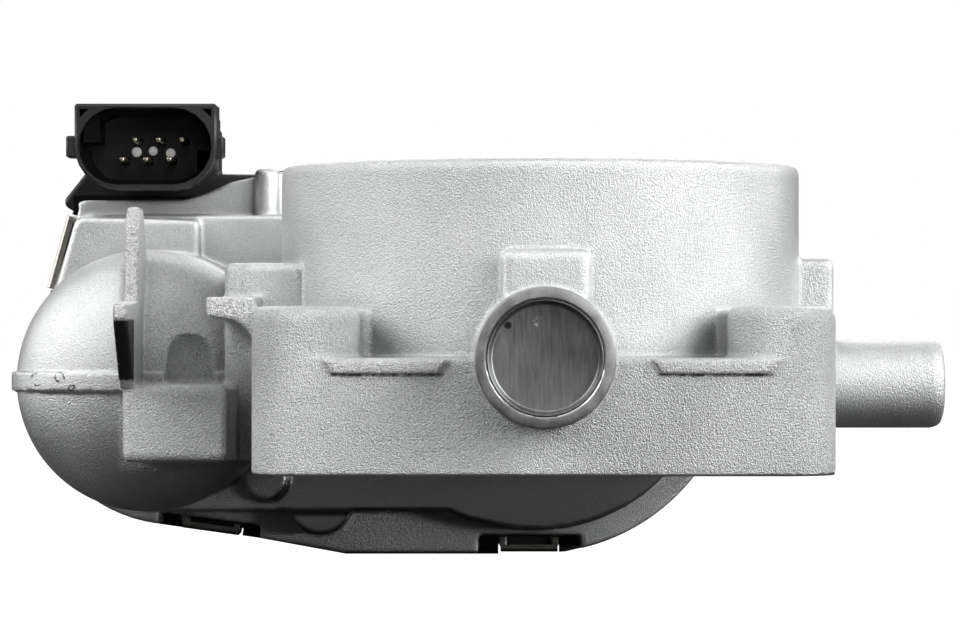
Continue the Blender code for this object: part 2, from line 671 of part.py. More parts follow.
def sector_outline():
    """Sector gear seen along Y: teeth on the idler side, a hub, and the lug that meets the closed stop."""
    step = 360.0 / SECTOR_TEETH
    mesh_at = math.degrees(direction(SHAFT_AT, IDLER_AT))
    count = 18
    first = mesh_at + step / 2 - 3 * step
    teeth = gear_points(SECTOR_TEETH, math.radians(first), count)
    last = first + (count - 1) * step
    lug = -REST_OPENING
    hub = arc((0, 0), 10.0, last + 25, 360 + lug - 18, 6)
    stop_lug = [(10.5, -3.6), (29.8, -2.4), (30.4, 0.0), (29.8, 2.4), (10.5, 3.6)]
    stop_lug = [rotate(p, lug) for p in stop_lug]
    rest = arc((0, 0), 10.0, 360 + lug + 22, 360 + first - 25, 10)
    return teeth + hub + stop_lug + rest


def rotate(point, degrees):
    a = math.radians(degrees)
    return point[0] * math.cos(a) - point[1] * math.sin(a), point[0] * math.sin(a) + point[1] * math.cos(a)


def coil(radius, start, end, turns, per_turn, phase=0.0):
    """Points of a helix round the Y axis."""
    count = round(turns * per_turn)
    return [
        (radius * math.cos(phase + 2 * math.pi * i / per_turn), start + (end - start) * i / count,
         radius * math.sin(phase + 2 * math.pi * i / per_turn))
        for i in range(count + 1)
    ]


def make_shaft_supports():
    """Bearings, seals and the plug, which stay in the housing."""
    turned("shaft_end_plug", [(0.0, -57.0), (8.2, -57.0), (8.7, -57.3), (9.3, -57.6), (9.3, -55.2), (8.5, -55.2),
                              (8.3, -55.8), (0.0, -55.8)], SHAFT_AT, finish=STEEL, steps=40)
    turned("idle_side_bearing", [(JOURNAL_R + 0.15, -54.7), (9.3, -54.7), (9.3, -48.7), (JOURNAL_R + 0.15, -48.7)],
           SHAFT_AT, finish=STEEL, steps=40)
    for name, start in (("idle_side_seal", -46.8), ("drive_side_seal", 43.8)):
        lip = SHAFT_R + 0.15
        turned(name, [(lip + 0.6, start), (SEAL_SEAT_R - 0.2, start), (SEAL_SEAT_R - 0.2, start + SEAL_T),
                      (lip, start + SEAL_T), (lip, start + SEAL_T - 1.2)], SHAFT_AT, finish=RUBBER, steps=32)
    turned("drive_side_bearing", [(6.3, 47.9), (DRIVE_SEAT_R - 0.2, 47.9), (DRIVE_SEAT_R - 0.2, 54.9), (6.3, 54.9)],
           SHAFT_AT, finish=STEEL, steps=40)
    turned("spring_sleeve", [(13.3, 49.0), (14.4, 49.0), (14.4, 59.2), (13.3, 59.2)], SHAFT_AT, finish=PLASTIC,
           steps=32)
    spring = coil(16.0, 50.2, 58.6, 4.5, 14, math.pi)
    tail = [(22.0, 50.2, 2.2)]
    start = coil(16.0, 50.2, 50.2, 0.5, 14, 0.0)
    points = tail + start[1:] + spring[1:]
    wire("return_spring", [(x, y, z + SHAFT_Z) for x, y, z in points], 0.95, DARK_STEEL)
    stop = turned("closed_stop_screw", [(0.0, 23.0), (1.5, 23.0), (2.0, 23.6), (2.0, 46.2), (0.0, 46.2)],
                  (28.0, 63.5), "Z", DARK_STEEL, 14)
    cut(stop, cylinder("stop_socket", 1.1, (44.4, 50.0), (28.0, 63.5), "Z", segments=6))


# ---------------------------------------------------------------- idler and motor


def make_idler():
    """The two-step idler gear on its fixed pin."""
    axis = empty("idler_axis", IDLER_AT)
    to_motor = direction(IDLER_AT, MOTOR_AT)
    to_shaft = direction(IDLER_AT, SHAFT_AT)
    big = prism("idler_gear", gear_points(IDLER_TEETH, to_motor + math.pi / IDLER_TEETH, flank=1), IDLER_Y,
                finish=GEAR_PLASTIC)
    small = prism("idler_small_gear", gear_points(IDLER_PINION_TEETH, to_shaft), (SECTOR_Y[0] - 0.6, IDLER_Y[0] + 1))
    join(big, small)
    bore = cylinder("idler_gear_bore", 2.7, (50, 80), segments=24)
    cut(big, bore)
    hang(axis, big, small, bore)
    turned("idler_pin", [(0.0, 50.5), (2.2, 50.5), (2.5, 50.8), (2.5, 75.0), (2.2, 75.3), (0.0, 75.3)], IDLER_AT,
           finish=STEEL, steps=24)


def make_motor():
    """A brushed motor: can, magnets, end plate and brush gear stay still, the armature and pinion turn."""
    low, high = CAN_Y
    wall = 1.4
    turned("motor_can", [(0.0, low - 2.6), (6.0, low - 2.6), (6.0, low), (CAN_R - 1.0, low), (CAN_R, low + 1.0),
                         (CAN_R, high), (CAN_R - wall, high), (CAN_R - wall, low + wall), (4.4, low + wall),
                         (4.4, low - 1.2), (0.0, low - 1.2)], MOTOR_AT, finish=STEEL, steps=32)
    magnet_in, magnet_out = 13.0, CAN_R - wall - 0.3
    for i, centre in enumerate((0, 180)):
        outline = arc(MOTOR_AT, magnet_out, centre - 62, centre + 62, 10) + arc(MOTOR_AT, magnet_in, centre + 62,
                                                                                 centre - 62, 10)
        prism(f"motor_magnet_{i + 1}", outline, (12.0, 38.0), finish=MAGNET)
    wave = turned("motor_wave_spring", [(14.5, 5.0), (18.6, 5.0), (18.6, 5.4), (14.5, 5.4)], MOTOR_AT,
                  finish=DARK_STEEL, steps=36)
    ripple(wave, 0.5, 3)
    motor_end(high)
    axis = empty("motor_axis", MOTOR_AT)
    shaft = turned("motor_shaft", [(0.0, 5.6), (1.6, 5.6), (1.6, 72.6), (0.0, 72.6)], finish=STEEL, steps=14)
    armature = prism("motor_armature", armature_outline(), (14.0, 37.0), finish=COPPER)
    armature_bore = cylinder("armature_bore", 1.75, (0, 60), segments=14)
    cut(armature, armature_bore)
    commutator = turned("motor_commutator", [(1.7, 38.0), (5.4, 38.0), (5.4, 43.4), (1.7, 43.4)], finish=COPPER,
                        steps=20)
    to_idler = direction(MOTOR_AT, IDLER_AT)
    pinion = prism("motor_pinion", gear_points(PINION_TEETH, to_idler), PINION_Y, finish=BRASS)
    pinion_bore = cylinder("pinion_bore", 1.75, (60, 80), segments=14)
    cut(pinion, pinion_bore)
    hang(axis, shaft, armature, armature_bore, commutator, pinion, pinion_bore)


def armature_outline():
    """Five broad poles with slots between them."""
    points = []
    for pole in range(5):
        middle = 72 * pole
        points += arc((0, 0), 11.8, middle - 27, middle + 27, 6)
        points += arc((0, 0), 7.0, middle + 31, middle + 41, 1)
    return points


def ripple(obj, height, waves):
    """Bends a flat turned washer into a wave washer."""
    graph = bpy.context.evaluated_depsgraph_get()
    mesh = bpy.data.meshes.new_from_object(obj.evaluated_get(graph))
    obj.modifiers.clear()
    obj.data = mesh
    for vertex in mesh.vertices:
        vertex.co.z += height * MM * math.sin(waves * math.atan2(vertex.co.y, vertex.co.x))


def motor_end(high):
    """End plate with two screwed ears, brush holder, brushes and terminals."""
    ears = motor_screw_places()
    plate = cylinder("motor_end_plate", CAN_R, MOTOR_PLATE_Y, MOTOR_AT, finish=STEEL, segments=36)
    for i, ear in enumerate(ears):
        lug = cylinder(f"ear_{i}", 3.3, (MOTOR_PLATE_Y[0], MOTOR_PLATE_Y[1]), ear, segments=14)
        angle = math.radians(MOTOR_SCREW_ANGLES[i])
        strap = box(f"ear_strap_{i}", (0, MOTOR_PLATE_Y[0], -3.3), (MOTOR_SCREW_R - 14, MOTOR_PLATE_Y[1], 3.3))
        strap.location = (0, strap.location.y, 0)
        middle = arc(MOTOR_AT, (MOTOR_SCREW_R + 14) / 2, MOTOR_SCREW_ANGLES[i], 0, 1)[0]
        strap.matrix_basis = (Matrix.Translation(Vector((middle[0] * MM, 0, middle[1] * MM)))
                              @ Matrix.Rotation(-angle, 4, "Y") @ Matrix.Translation(strap.location))
        join(plate, lug, strap)
        cut(plate, cylinder(f"ear_hole_{i}", 2.15, (40, 60), ear, segments=14))
        turned(f"motor_screw_{i + 1}", [(0.0, 42.6), (1.5, 42.6), (1.9, 43.1), (1.9, 51.1), (3.1, 51.1), (3.1, 52.6),
                                        (2.5, 53.2), (0.0, 53.2)], ear, finish=STEEL, steps=16)
    nose = cylinder("plate_nose", 5.0, (MOTOR_PLATE_Y[0] + 0.5, 54.0), MOTOR_AT, segments=16)
    join(plate, nose)
    cut(plate, cylinder("plate_bore", 1.8, (40, 60), MOTOR_AT, segments=14))
    holder = cylinder("brush_holder", CAN_R - 1.7, (43.8, high - 0.2), MOTOR_AT, finish=PLASTIC, segments=28)
    cut(holder, cylinder("holder_bore", 3.0, (40, 60), MOTOR_AT, segments=16))
    x, z = MOTOR_AT
    for i, side in enumerate((-1, 1)):
        name = i + 1
        edges = sorted((x + side * 5.8, x + side * 11.0))
        box(f"motor_brush_{name}", (edges[0], 38.8, z - 1.8), (edges[1], 43.4, z + 1.8), finish=MAGNET)
        tab = (x + side * 7.0, z + 12.0)
        box(f"motor_terminal_{name}", (tab[0] - 2.0, 46.0, tab[1] - 0.4), (tab[0] + 2.0, 62.5, tab[1] + 0.4),
            finish=BRASS)
        slot = box(f"terminal_slot_{name}", (tab[0] - 2.5, 45.6, tab[1] - 0.9), (tab[0] + 2.5, 56, tab[1] + 0.9))
        cut(plate, slot)
        cut(holder, slot)


# ---------------------------------------------------------------- cover, connector and clips


def stadium(centre, width, height, count=10):
    """A long hole's outline: two half circles joined by straight sides."""
    r = height / 2
    run = width / 2 - r
    x, z = centre
    return arc((x + run, z), r, -90, 90, count) + arc((x - run, z), r, 90, 270, count)


def plug_outline():
    """The connector's outside: a flat top with square corners over a round-bottomed shroud."""
    x, z = PLUG_AT
    w, h = PLUG_SIZE[0] / 2, PLUG_SIZE[1] / 2
    return ([(x + w, z), (x + w, z + h), (x - w, z + h), (x - w, z)]
            + arc((x - w + 8.0, z - h + 8.0), 8.0, 190, 270, 5) + arc((x + w - 8.0, z - h + 8.0), 8.0, 270, 350, 5))


def pin_places():
    """Six contacts in two rows of three, the rows staggered."""
    x, z = PLUG_AT[0] + 0.8, PLUG_AT[1] - 0.35
    rows = ((z + PIN_ROW_GAP / 2, PIN_STAGGER / 2), (z - PIN_ROW_GAP / 2, -PIN_STAGGER / 2))
    return [(x + shift + PIN_PITCH * (i - 1), height) for height, shift in rows for i in range(3)]


def make_cover():
    """The black cover that closes the gear case, with the plug socket moulded on it."""
    rim = offset(rim_outline(), 0.7)
    cover = prism("gear_cover", rim, (COVER_Y, COVER_FLANGE_Y), finish=PLASTIC)
    dome = prism("cover_dome", offset(rim_outline(), -3.4), (COVER_Y + 0.5, COVER_BACK_Y))
    join(cover, bevel(dome, 1.6, 3, 60))
    crown = cylinder("sensor_crown", 24.0, (COVER_BACK_Y - 2, COVER_BACK_Y + 2.2), SHAFT_AT, segments=40)
    motor_crown = cylinder("motor_crown", 13.0, (COVER_BACK_Y - 2, COVER_BACK_Y + 1.4), MOTOR_AT, segments=28)
    neck_side = [(-89.6, 47.2), (-85.4, 44.5), (-52.6, 46.0), (-50.0, 53.3), (-60.2, 53.4), (-60.2, 62.0),
                 (-84.3, 62.0), (-84.9, 54.6), (-89.8, 48.4)]
    neck = prism("plug_neck", neck_side, (COVER_Y, COVER_BACK_Y - 1.0))
    join(cover, bevel(crown, 1.2, 2), bevel(motor_crown, 0.9, 2), bevel(neck, 0.8, 2))
    collar = prism("plug_collar", plug_outline(), (PLUG_FRONT_Y, PLUG_COLLAR_Y))
    shroud = prism("plug_shroud", offset(plug_outline(), -1.2), (PLUG_COLLAR_Y - 1, COVER_BACK_Y - 2.5))
    join(cover, bevel(collar, 0.4, 1), bevel(shroud, 0.5, 1))
    x, z = PLUG_AT
    for name, side, reach in (("left", -1, 1.6), ("right", 1, 1.25)):
        edge = x + side * PLUG_SIZE[0] / 2
        ends = sorted((edge - side * 0.6, edge + side * reach))
        lug = box(f"latch_{name}", (ends[0], PLUG_FRONT_Y + 0.4, z - 2.0), (ends[1], PLUG_FRONT_Y + 7, z + 2.0))
        join(cover, bevel(lug, 0.3, 1))
        tip = edge - side * 0.95
        inner = edge - side * 2.7
        corner = [(tip, z + 7.0), (inner, z + 7.0), (tip, z + 5.4)]
        if side < 0:
            corner.reverse()
        cut(cover, prism(f"plug_corner_{name}", corner, (PLUG_FRONT_Y - 2, PLUG_FRONT_Y + 8)))
    for name, (at, angle, half, depth) in clip_places().items():
        turn = math.radians(90 - angle)
        shallow = depth < CLIP_TONGUE_DEPTH
        notch = box(f"cover_notch_{name}", (-half - 0.4, TRAY_FRONT_Y, -depth if shallow else -0.2),
                    (half + 0.4, COVER_FLANGE_Y + 1, 4.0))
        nub = bevel(box(f"nub_{name}", (-2.2, COVER_Y + 0.3, -3.0), (2.2, COVER_FLANGE_Y - 0.3, 1.1)), 0.4, 1)
        reach = 2.4 if shallow else half - 1.7
        tongue = box(f"tongue_{name}", (-reach, CLIP_Y[0] + 1.8, 0.3 - depth),
                     (reach, COVER_Y + 1, -0.3))
        for piece in (notch, nub, tongue):
            put_on_rim(piece, at, turn)
        cut(cover, notch)
        join(cover, nub, tongue)
    cover_hollows(cover)
    return cover


def cover_hollows(cover):
    hollow = prism("cover_hollow", offset(cavity_outline(), -0.8), (COVER_Y - 5, COVER_BACK_Y - COVER_WALL))
    cut(cover, hollow)
    socket = cylinder("pin_socket", 5.0, (73.2, COVER_BACK_Y - 1), IDLER_AT, segments=24)
    join(cover, socket)
    cut(cover, cylinder("pin_socket_bore", 2.7, (70, 76.2), IDLER_AT, segments=24))
    x, z = PLUG_AT
    cavity = stadium((x - 0.15, z + 0.1), PLUG_SIZE[0] - 1.5, PLUG_SIZE[1] - 1.6)
    cut(cover, prism("plug_cavity", cavity, (PLUG_FRONT_Y - 2, PLUG_COLLAR_Y - 1.5)))
    cut(cover, prism("plug_cavity_back", offset(cavity, -1.1), (PLUG_FRONT_Y - 1, PLUG_FLOOR_Y)))
    block_side = [(x - 11.7, z + 0.9), (x - 8.8, z + 0.9), (x - 8.8, z + 6.5), (x - 9.6, z + 6.5), (x - 11.7, z + 4.4)]
    keys = [prism("key_block", block_side, (PLUG_FRONT_Y + 3, PLUG_FLOOR_Y + 0.5)),
            box("key_rib", (x + 8.6, PLUG_FRONT_Y + 3, z - 4.9), (x + 9.4, PLUG_FLOOR_Y + 0.5, z - 0.3)),
            box("key_shelf", (x + 8.8, PLUG_FRONT_Y + 3.2, z - 0.6), (x + 11.6, PLUG_FLOOR_Y + 0.4, z - 0.05))]
    join(cover, *keys)
    for i, (px, pz) in enumerate(pin_places()):
        half = PIN_SIDE / 2 + 0.15
        cut(cover, box(f"pin_hole_{i}", (px - half, PLUG_FLOOR_Y - 1, pz - half), (px + half, 72.4, pz + half)))
        half = PIN_SIDE / 2
        pin = box(f"connector_pin_{i + 1}", (px - half, 49.0, pz - half), (px + half, 72.0, pz + half), finish=BRASS)
        bevel(pin, 0.2, 1)


def make_sealing_and_sensor():
    seal = prism("cover_gasket", offset(cavity_outline(), 2.2), (RIM_Y - 1.3, RIM_Y + 0.2), finish=RUBBER,
                 holes=[offset(cavity_outline(), 1.1)])
    board = box("sensor_board", (-14.0, 73.4, 5.0), (17.0, 74.9, 34.0), finish=BOARD)
    return seal, board


def clip_profile(hook):
    """A spring clip seen along the rim: a web outside it, turned in at the front as far as hook and at the back."""
    (front, back), inside, outside, soft = CLIP_Y, 0.1, 0.1 + CLIP_T, 0.5
    return [(front, hook), (front, outside - soft), (front + soft, outside), (back - soft, outside),
            (back, outside - soft), (back, -1.4), (back - CLIP_T, -1.4), (back - CLIP_T, inside),
            (front + CLIP_T, inside), (front + CLIP_T, hook)]


def make_clips():
    """Six spring clips. Each has a web outside the rim, a lip over the cover, and two claws on the housing's ears."""
    for name, (at, angle, half, depth) in clip_places().items():
        hook = 0.3 - depth
        clip = prism(f"cover_clip_{name}", clip_profile(hook), (-half, half), axis="X", finish=STEEL)
        window = box(f"clip_window_{name}", (-2.7, COVER_Y - 0.2, -0.6), (2.7, COVER_FLANGE_Y + 0.2, 3))
        between = box(f"claw_gap_{name}", (-half + 1.0, CLIP_Y[0] - 1, hook - 1), (half - 1.0, CLIP_Y[0] + 2, -0.5))
        for piece in (clip, window, between):
            put_on_rim(piece, at, math.radians(90 - angle))
        cut(clip, window, between)


def stand_on_origin():
    """Hangs everything on one empty at the bore's centre."""
    centre = empty("bore_centre", (0.0, 0.0))
    for obj in bpy.data.objects:
        if obj.parent is None and obj is not centre:
            obj.parent = centre
    centre.location.y = ORIGIN_TO_BORE_Y * MM


def main():
    make_housing()
    make_throttle()
    make_shaft_supports()
    make_idler()
    make_motor()
    make_cover()
    make_sealing_and_sensor()
    make_clips()
    stand_on_origin()


main()
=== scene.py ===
"""Looks for the electronic throttle body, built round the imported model.

Lengths are millimetres from the air bore's centre, unless a comment says metres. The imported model's origin
lies BORE_Y in front of that centre. Energies of lights are watts, and texture scales are per metre.
"""

import math

import bmesh
import bpy
import numpy as np
from mathutils import Matrix, Vector, noise


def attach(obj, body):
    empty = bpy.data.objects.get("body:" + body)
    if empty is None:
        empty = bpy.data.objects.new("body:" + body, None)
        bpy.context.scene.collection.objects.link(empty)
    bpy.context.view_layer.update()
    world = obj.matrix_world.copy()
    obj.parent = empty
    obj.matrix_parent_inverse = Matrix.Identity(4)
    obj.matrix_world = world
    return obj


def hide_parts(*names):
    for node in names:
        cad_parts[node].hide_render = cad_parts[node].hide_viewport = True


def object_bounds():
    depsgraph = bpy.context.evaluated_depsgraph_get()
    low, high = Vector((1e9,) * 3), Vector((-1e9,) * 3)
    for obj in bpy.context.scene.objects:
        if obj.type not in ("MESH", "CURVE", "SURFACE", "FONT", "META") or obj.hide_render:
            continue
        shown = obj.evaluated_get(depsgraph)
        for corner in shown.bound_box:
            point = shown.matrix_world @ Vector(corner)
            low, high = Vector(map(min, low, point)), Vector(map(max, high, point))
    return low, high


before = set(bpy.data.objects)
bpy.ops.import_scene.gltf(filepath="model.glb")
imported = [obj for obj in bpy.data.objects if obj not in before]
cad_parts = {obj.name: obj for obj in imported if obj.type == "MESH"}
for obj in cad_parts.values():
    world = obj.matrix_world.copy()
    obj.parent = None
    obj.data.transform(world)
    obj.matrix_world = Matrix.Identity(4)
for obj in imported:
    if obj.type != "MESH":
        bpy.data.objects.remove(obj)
cad_low, cad_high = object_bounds()

MM = 0.001

# Air duct, and the shaft boss in front of it
BORE_Y = 44.2
BORE_R = 41.0
DUCT_R = 45.0
DUCT_TOP = 52.2
SHAFT_Z = 19.4
BOSS_R = 11.4
BOSS_FACE_Y = -57.7
PLUG_SEAT_R = 9.75
PLUG_FACE_Y = -56.35

# Flange, and the vacuum port on its right
FLANGE_HALF = 48.2
FLANGE_TOP = 20.0
LUG_TOP = 28.0
BOLT_AT = 39.2
BOLT_HOLE_R = 3.8
CORNER_R = 9.0
PORT_Z = 14.4
PORT_R = 7.7
PORT_BORE_R = 4.6

# Motor barrel with its domed end and parting band
MOTOR_X, MOTOR_Z = -68.6, 14.9
BARREL_R = 22.9
MOTOR_BAY_R = 19.9
DOME_Y = 2.0
DOME_DEPTH = 15.0
BAND = 0.9

# Gear case: its arcs as (centre, radius), and where its wall and its rim's face start
CASE_ARCS = (((0.0, SHAFT_Z), 32.8), ((0.0, SHAFT_Z), 37.8),
             ((MOTOR_X, MOTOR_Z), 24.8), ((-67.6, 14.6), 27.6))
CASE_WALL_Y = 42.0
RIM_FACE_Y = 67.7

# Plug socket on the cover, and the heights of the cover's back and of its two crowns
PLUG_X, PLUG_Z, PLUG_FLOOR_Y = -72.4, 57.6, 60.0
COVER_BACK_Y = 78.0
SENSOR_CROWN_Y = 80.2
MOTOR_CROWN_Y = 79.4
RING_HEIGHT = 0.9

# Ragged rings of flash on the parting band, as (x, z, radius)
FLASH_RINGS = ((-87.0, 15.2, 1.0), (-82.8, 15.7, 0.75), (-80.6, 13.9, 0.5), (-75.4, 13.7, 0.45))

# Torn gate marks on the flange's front, as the ends of each along X
GATE_MARKS = ((-36.2, -15.7), (17.6, 38.3))

# Remeshing of the casting
VOXEL = 0.42
SMOOTH_STEPS = 10

# Stage, in metres
FLOOR_GAP = 0.0004
CAMERA_LENS_MM = 156.9
CAMERA_PLACE = (-0.0105, BORE_Y * MM - 0.730, 0.0255)


# ---------------------------------------------------------------- node materials


class Shade:
    """Builds one node material."""

    def __init__(self, name):
        self.material = bpy.data.materials.new(name)
        self.material.use_nodes = True
        self.tree = self.material.node_tree
        self.shader = self.tree.nodes["Principled BSDF"]
        self.place = self.add("ShaderNodeTexCoord").outputs["Object"]

    def add(self, kind, **settings):
        made = self.tree.nodes.new(kind)
        for name, value in settings.items():
            setattr(made, name, value)
        return made

    def feed(self, socket, value):
        if isinstance(value, bpy.types.NodeSocket):
            self.tree.links.new(value, socket)
        else:
            socket.default_value = value

    def set(self, **values):
        """Feeds the shader's own sockets, named with underscores for spaces."""
        for name, value in values.items():
            self.feed(self.shader.inputs[name.replace("_", " ")], value)

    def math(self, operation, a, b=0.0, clamp=False):
        made = self.add("ShaderNodeMath", operation=operation, use_clamp=clamp)
        self.feed(made.inputs[0], a)
        self.feed(made.inputs[1], b)
        return made.outputs[0]

    def remap(self, value, from_low, from_high, to_low=0.0, to_high=1.0):
        made = self.add("ShaderNodeMapRange", clamp=True)
        for socket, given in zip(made.inputs, (value, from_low, from_high, to_low, to_high)):
            self.feed(socket, given)
        return made.outputs[0]

    def noise(self, scale, detail=2.0, roughness=0.5, stretch=(1, 1, 1)):
        """Noise whose features are about 1/scale metres across, stretched along the axes."""
        at = self.add("ShaderNodeMapping")
        self.feed(at.inputs["Vector"], self.place)
        at.inputs["Scale"].default_value = stretch
        made = self.add("ShaderNodeTexNoise")
        self.feed(made.inputs["Vector"], at.outputs[0])
        made.inputs["Scale"].default_value = scale
        made.inputs["Detail"].default_value = detail
        made.inputs["Roughness"].default_value = roughness
        return made.outputs["Fac"]

    def inside(self, low, high, soft=0.2):
        """1 inside a box given in millimetres from the bore's centre, falling to 0 over soft outside it."""
        split = self.add("ShaderNodeSeparateXYZ")
        self.feed(split.inputs[0], self.place)
        share = 1.0
        for axis, shift in ((0, 0.0), (1, BORE_Y), (2, 0.0)):
            centre, half = (low[axis] + high[axis]) / 2 + shift, (high[axis] - low[axis]) / 2
            gap = self.math("ABSOLUTE", self.math("SUBTRACT", split.outputs[axis], centre * MM))
            share = self.math("MULTIPLY", self.remap(gap, half * MM, (half + soft) * MM, 1.0, 0.0), share)
        return share

    def away(self, x, z):
        """Distance in metres from an axis along Y."""
        shift = self.add("ShaderNodeMapping")
        self.feed(shift.inputs["Vector"], self.place)
        shift.inputs["Location"].default_value = (-x * MM, 0.0, -z * MM)
        shift.inputs["Scale"].default_value = (1.0, 0.0, 1.0)
        length = self.add("ShaderNodeVectorMath", operation="LENGTH")
        self.feed(length.inputs[0], shift.outputs[0])
        return length.outputs["Value"]

    def mask(self, name):
        return self.add("ShaderNodeAttribute", attribute_name=name).outputs["Fac"]

    def mix(self, share, a, b):
        made = self.add("ShaderNodeMix", data_type="RGBA")
        self.feed(made.inputs[0], share)
        self.feed(made.inputs[6], (*a, 1.0) if isinstance(a, tuple) else a)
        self.feed(made.inputs[7], (*b, 1.0) if isinstance(b, tuple) else b)
        return made.outputs[2]

    def shaded(self, colour, share):
        """A colour made darker."""
        made = self.add("ShaderNodeMix", data_type="RGBA", blend_type="MULTIPLY")
        made.inputs[0].default_value = 1.0
        self.feed(made.inputs[6], colour)
        made.inputs[7].default_value = (share, share, share, 1.0)
        return made.outputs[2]

    def blend(self, share, a, b):
        made = self.add("ShaderNodeMix", data_type="FLOAT")
        for socket, given in zip(made.inputs[:4], (share, None, a, b)):
            if given is not None:
                self.feed(socket, given)
        return made.outputs[0]

    def bump(self, height, depth_mm, strength=1.0, under=None):
        made = self.add("ShaderNodeBump")
        self.feed(made.inputs["Height"], height)
        self.feed(made.inputs["Distance"], depth_mm * MM)
        self.feed(made.inputs["Strength"], strength)
        if under is not None:
            self.feed(made.inputs["Normal"], under)
        return made.outputs[0]


def cast_aluminium():
    """Sand-grained casting, smooth where machined, chipped where torn, with painted shade in recesses and
    painted shadows under the fin and gate marks.
    """
    s = Shade("cast_aluminium_grain")
    machined, torn, dark, grain = s.mask("machined"), s.mask("torn"), s.mask("dark"), s.mask("grain")
    patches = s.noise(55.0, 3.0, 0.55)
    lumps = s.noise(2700.0, 3.0, 0.7)
    sand = s.noise(5200.0, 1.0, 0.5)
    height = s.math("ADD", s.math("MULTIPLY", lumps, 0.6), s.math("MULTIPLY", sand, 0.4))
    light = s.mix(s.remap(patches, 0.35, 0.68), (0.66, 0.675, 0.665), (0.78, 0.79, 0.78))
    pits = s.math("MULTIPLY", grain, s.remap(height, 0.36, 0.56, 1.0, 0.0))
    shaded = s.mix(pits, light, (0.42, 0.43, 0.425))
    cut = s.mix(s.noise(400.0, 2.0, 0.5, (1, 1, 6)), (0.66, 0.66, 0.65), (0.74, 0.74, 0.735))
    cast = s.mix(machined, shaded, cut)
    chips = s.noise(2500.0, 3.0, 0.65)
    wander = s.math("MULTIPLY", s.noise(1100.0, 4.0, 0.75), 1.6 * MM)
    broken = s.noise(420.0, 2.0, 0.5)
    flash = 0.0
    for x, z, radius in FLASH_RINGS:
        off = s.math("SUBTRACT", s.math("ADD", s.away(x, z), wander), (radius + 0.8) * MM)
        ring = s.remap(s.math("ABSOLUTE", off), 0.08 * MM, 0.26 * MM, 1.0, 0.0)
        flash = s.math("ADD", s.math("MULTIPLY", ring, s.remap(broken, 0.42, 0.47)), flash, clamp=True)
    flash = s.math("MULTIPLY", s.mask("flash"), flash)
    torn_colour = s.mix(s.remap(chips, 0.38, 0.54), (0.46, 0.46, 0.46), (0.76, 0.77, 0.76))
    cast = s.mix(flash, s.mix(torn, cast, torn_colour), (0.10, 0.10, 0.10))
    # Painted shade: an ambient occlusion node darkens the colour in recesses and corners.
    painted_recess_shade = s.add("ShaderNodeAmbientOcclusion", samples=6)
    painted_recess_shade.inputs["Distance"].default_value = 7.0 * MM
    cast = s.mix(s.remap(painted_recess_shade.outputs["AO"], 0.30, 0.80, 0.0, 1.0), s.shaded(cast, 0.60), cast)
    # Painted shadow: near-black where the dark mask is set, under the fin and the gate marks.
    colour = s.mix(dark, cast, (0.035, 0.035, 0.035))
    rough = s.remap(patches, 0.3, 0.7, 0.42, 0.52)
    rough = s.blend(machined, rough, s.remap(patches, 0.3, 0.7, 0.24, 0.34))
    coarse = s.bump(height, 0.62, grain)
    torn_bump = s.bump(chips, 0.45, torn, coarse)
    s.set(Base_Color=colour, Metallic=1.0, Roughness=rough, Normal=torn_bump)
    return s.material


def plug_face():
    """Dull rolled steel with upright streaks, one black fleck and one short bright scratch."""
    s = Shade("plug_steel")
    streaks = s.noise(420.0, 4.0, 0.65, (6, 1, 0.5))
    clouds = s.noise(90.0, 3.0, 0.5)
    share = s.math("ADD", s.math("MULTIPLY", streaks, 0.45), s.math("MULTIPLY", clouds, 0.55))
    face = s.mix(s.remap(share, 0.36, 0.66), (0.20, 0.205, 0.20), (0.33, 0.335, 0.33))
    near = [s.away(dx, SHAFT_Z + dz) for dx, dz in ((-6.0, 5.2), (-1.2, 5.8))]
    ragged = s.math("MULTIPLY", s.noise(1800.0, 3.0, 0.6), 0.5 * MM)
    fleck = s.remap(s.math("ADD", near[0], ragged), 0.75 * MM, 0.95 * MM, 1.0, 0.0)
    scratch = s.math("MULTIPLY", s.remap(near[1], 0.7 * MM, 1.0 * MM, 1.0, 0.0),
                     s.remap(s.noise(900.0, 3.0, 0.7, (1, 1, 2.5)), 0.56, 0.60))
    colour = s.mix(scratch, s.mix(fleck, face, (0.004, 0.004, 0.004)), (0.8, 0.8, 0.8))
    s.set(Base_Color=colour, Metallic=s.math("SUBTRACT", 1.0, fleck))
    s.set(Roughness=s.remap(streaks, 0.3, 0.7, 0.36, 0.48), Normal=s.bump(streaks, 0.02, 0.4))
    return s.material


def machined_face():
    """A faced ring: circular cutter marks round the shaft's axis."""
    s = Shade("machined_ring")
    marks = s.add("ShaderNodeTexNoise", noise_dimensions="1D")
    s.feed(marks.inputs["W"], s.math("MULTIPLY", s.away(0.0, SHAFT_Z), 9000.0))
    worn = s.noise(300.0, 3.0, 0.6)
    colour = s.mix(s.remap(worn, 0.35, 0.65), (0.27, 0.275, 0.27), (0.42, 0.425, 0.42))
    s.set(Base_Color=colour, Metallic=0.95, Roughness=s.remap(worn, 0.3, 0.7, 0.42, 0.55))
    s.set(Normal=s.bump(marks.outputs["Fac"], 0.02, 0.6, s.bump(s.noise(1200.0, 3.0), 0.05, 0.5)))
    return s.material


def streaked_steel(name, dark, light, roughness, stretch):
    """Rolled or drawn steel whose streaks run along the axis with the smallest stretch."""
    s = Shade(name)
    streaks = s.noise(260.0, 4.0, 0.65, stretch)
    clouds = s.noise(90.0, 3.0, 0.5)
    share = s.math("ADD", s.math("MULTIPLY", streaks, 0.7), s.math("MULTIPLY", clouds, 0.3))
    s.set(Base_Color=s.mix(s.remap(share, 0.36, 0.66), dark, light), Metallic=1.0)
    s.set(Roughness=s.remap(streaks, 0.3, 0.7, roughness - 0.07, roughness + 0.08))
    s.set(Normal=s.bump(streaks, 0.02, 0.5))
    return s.material


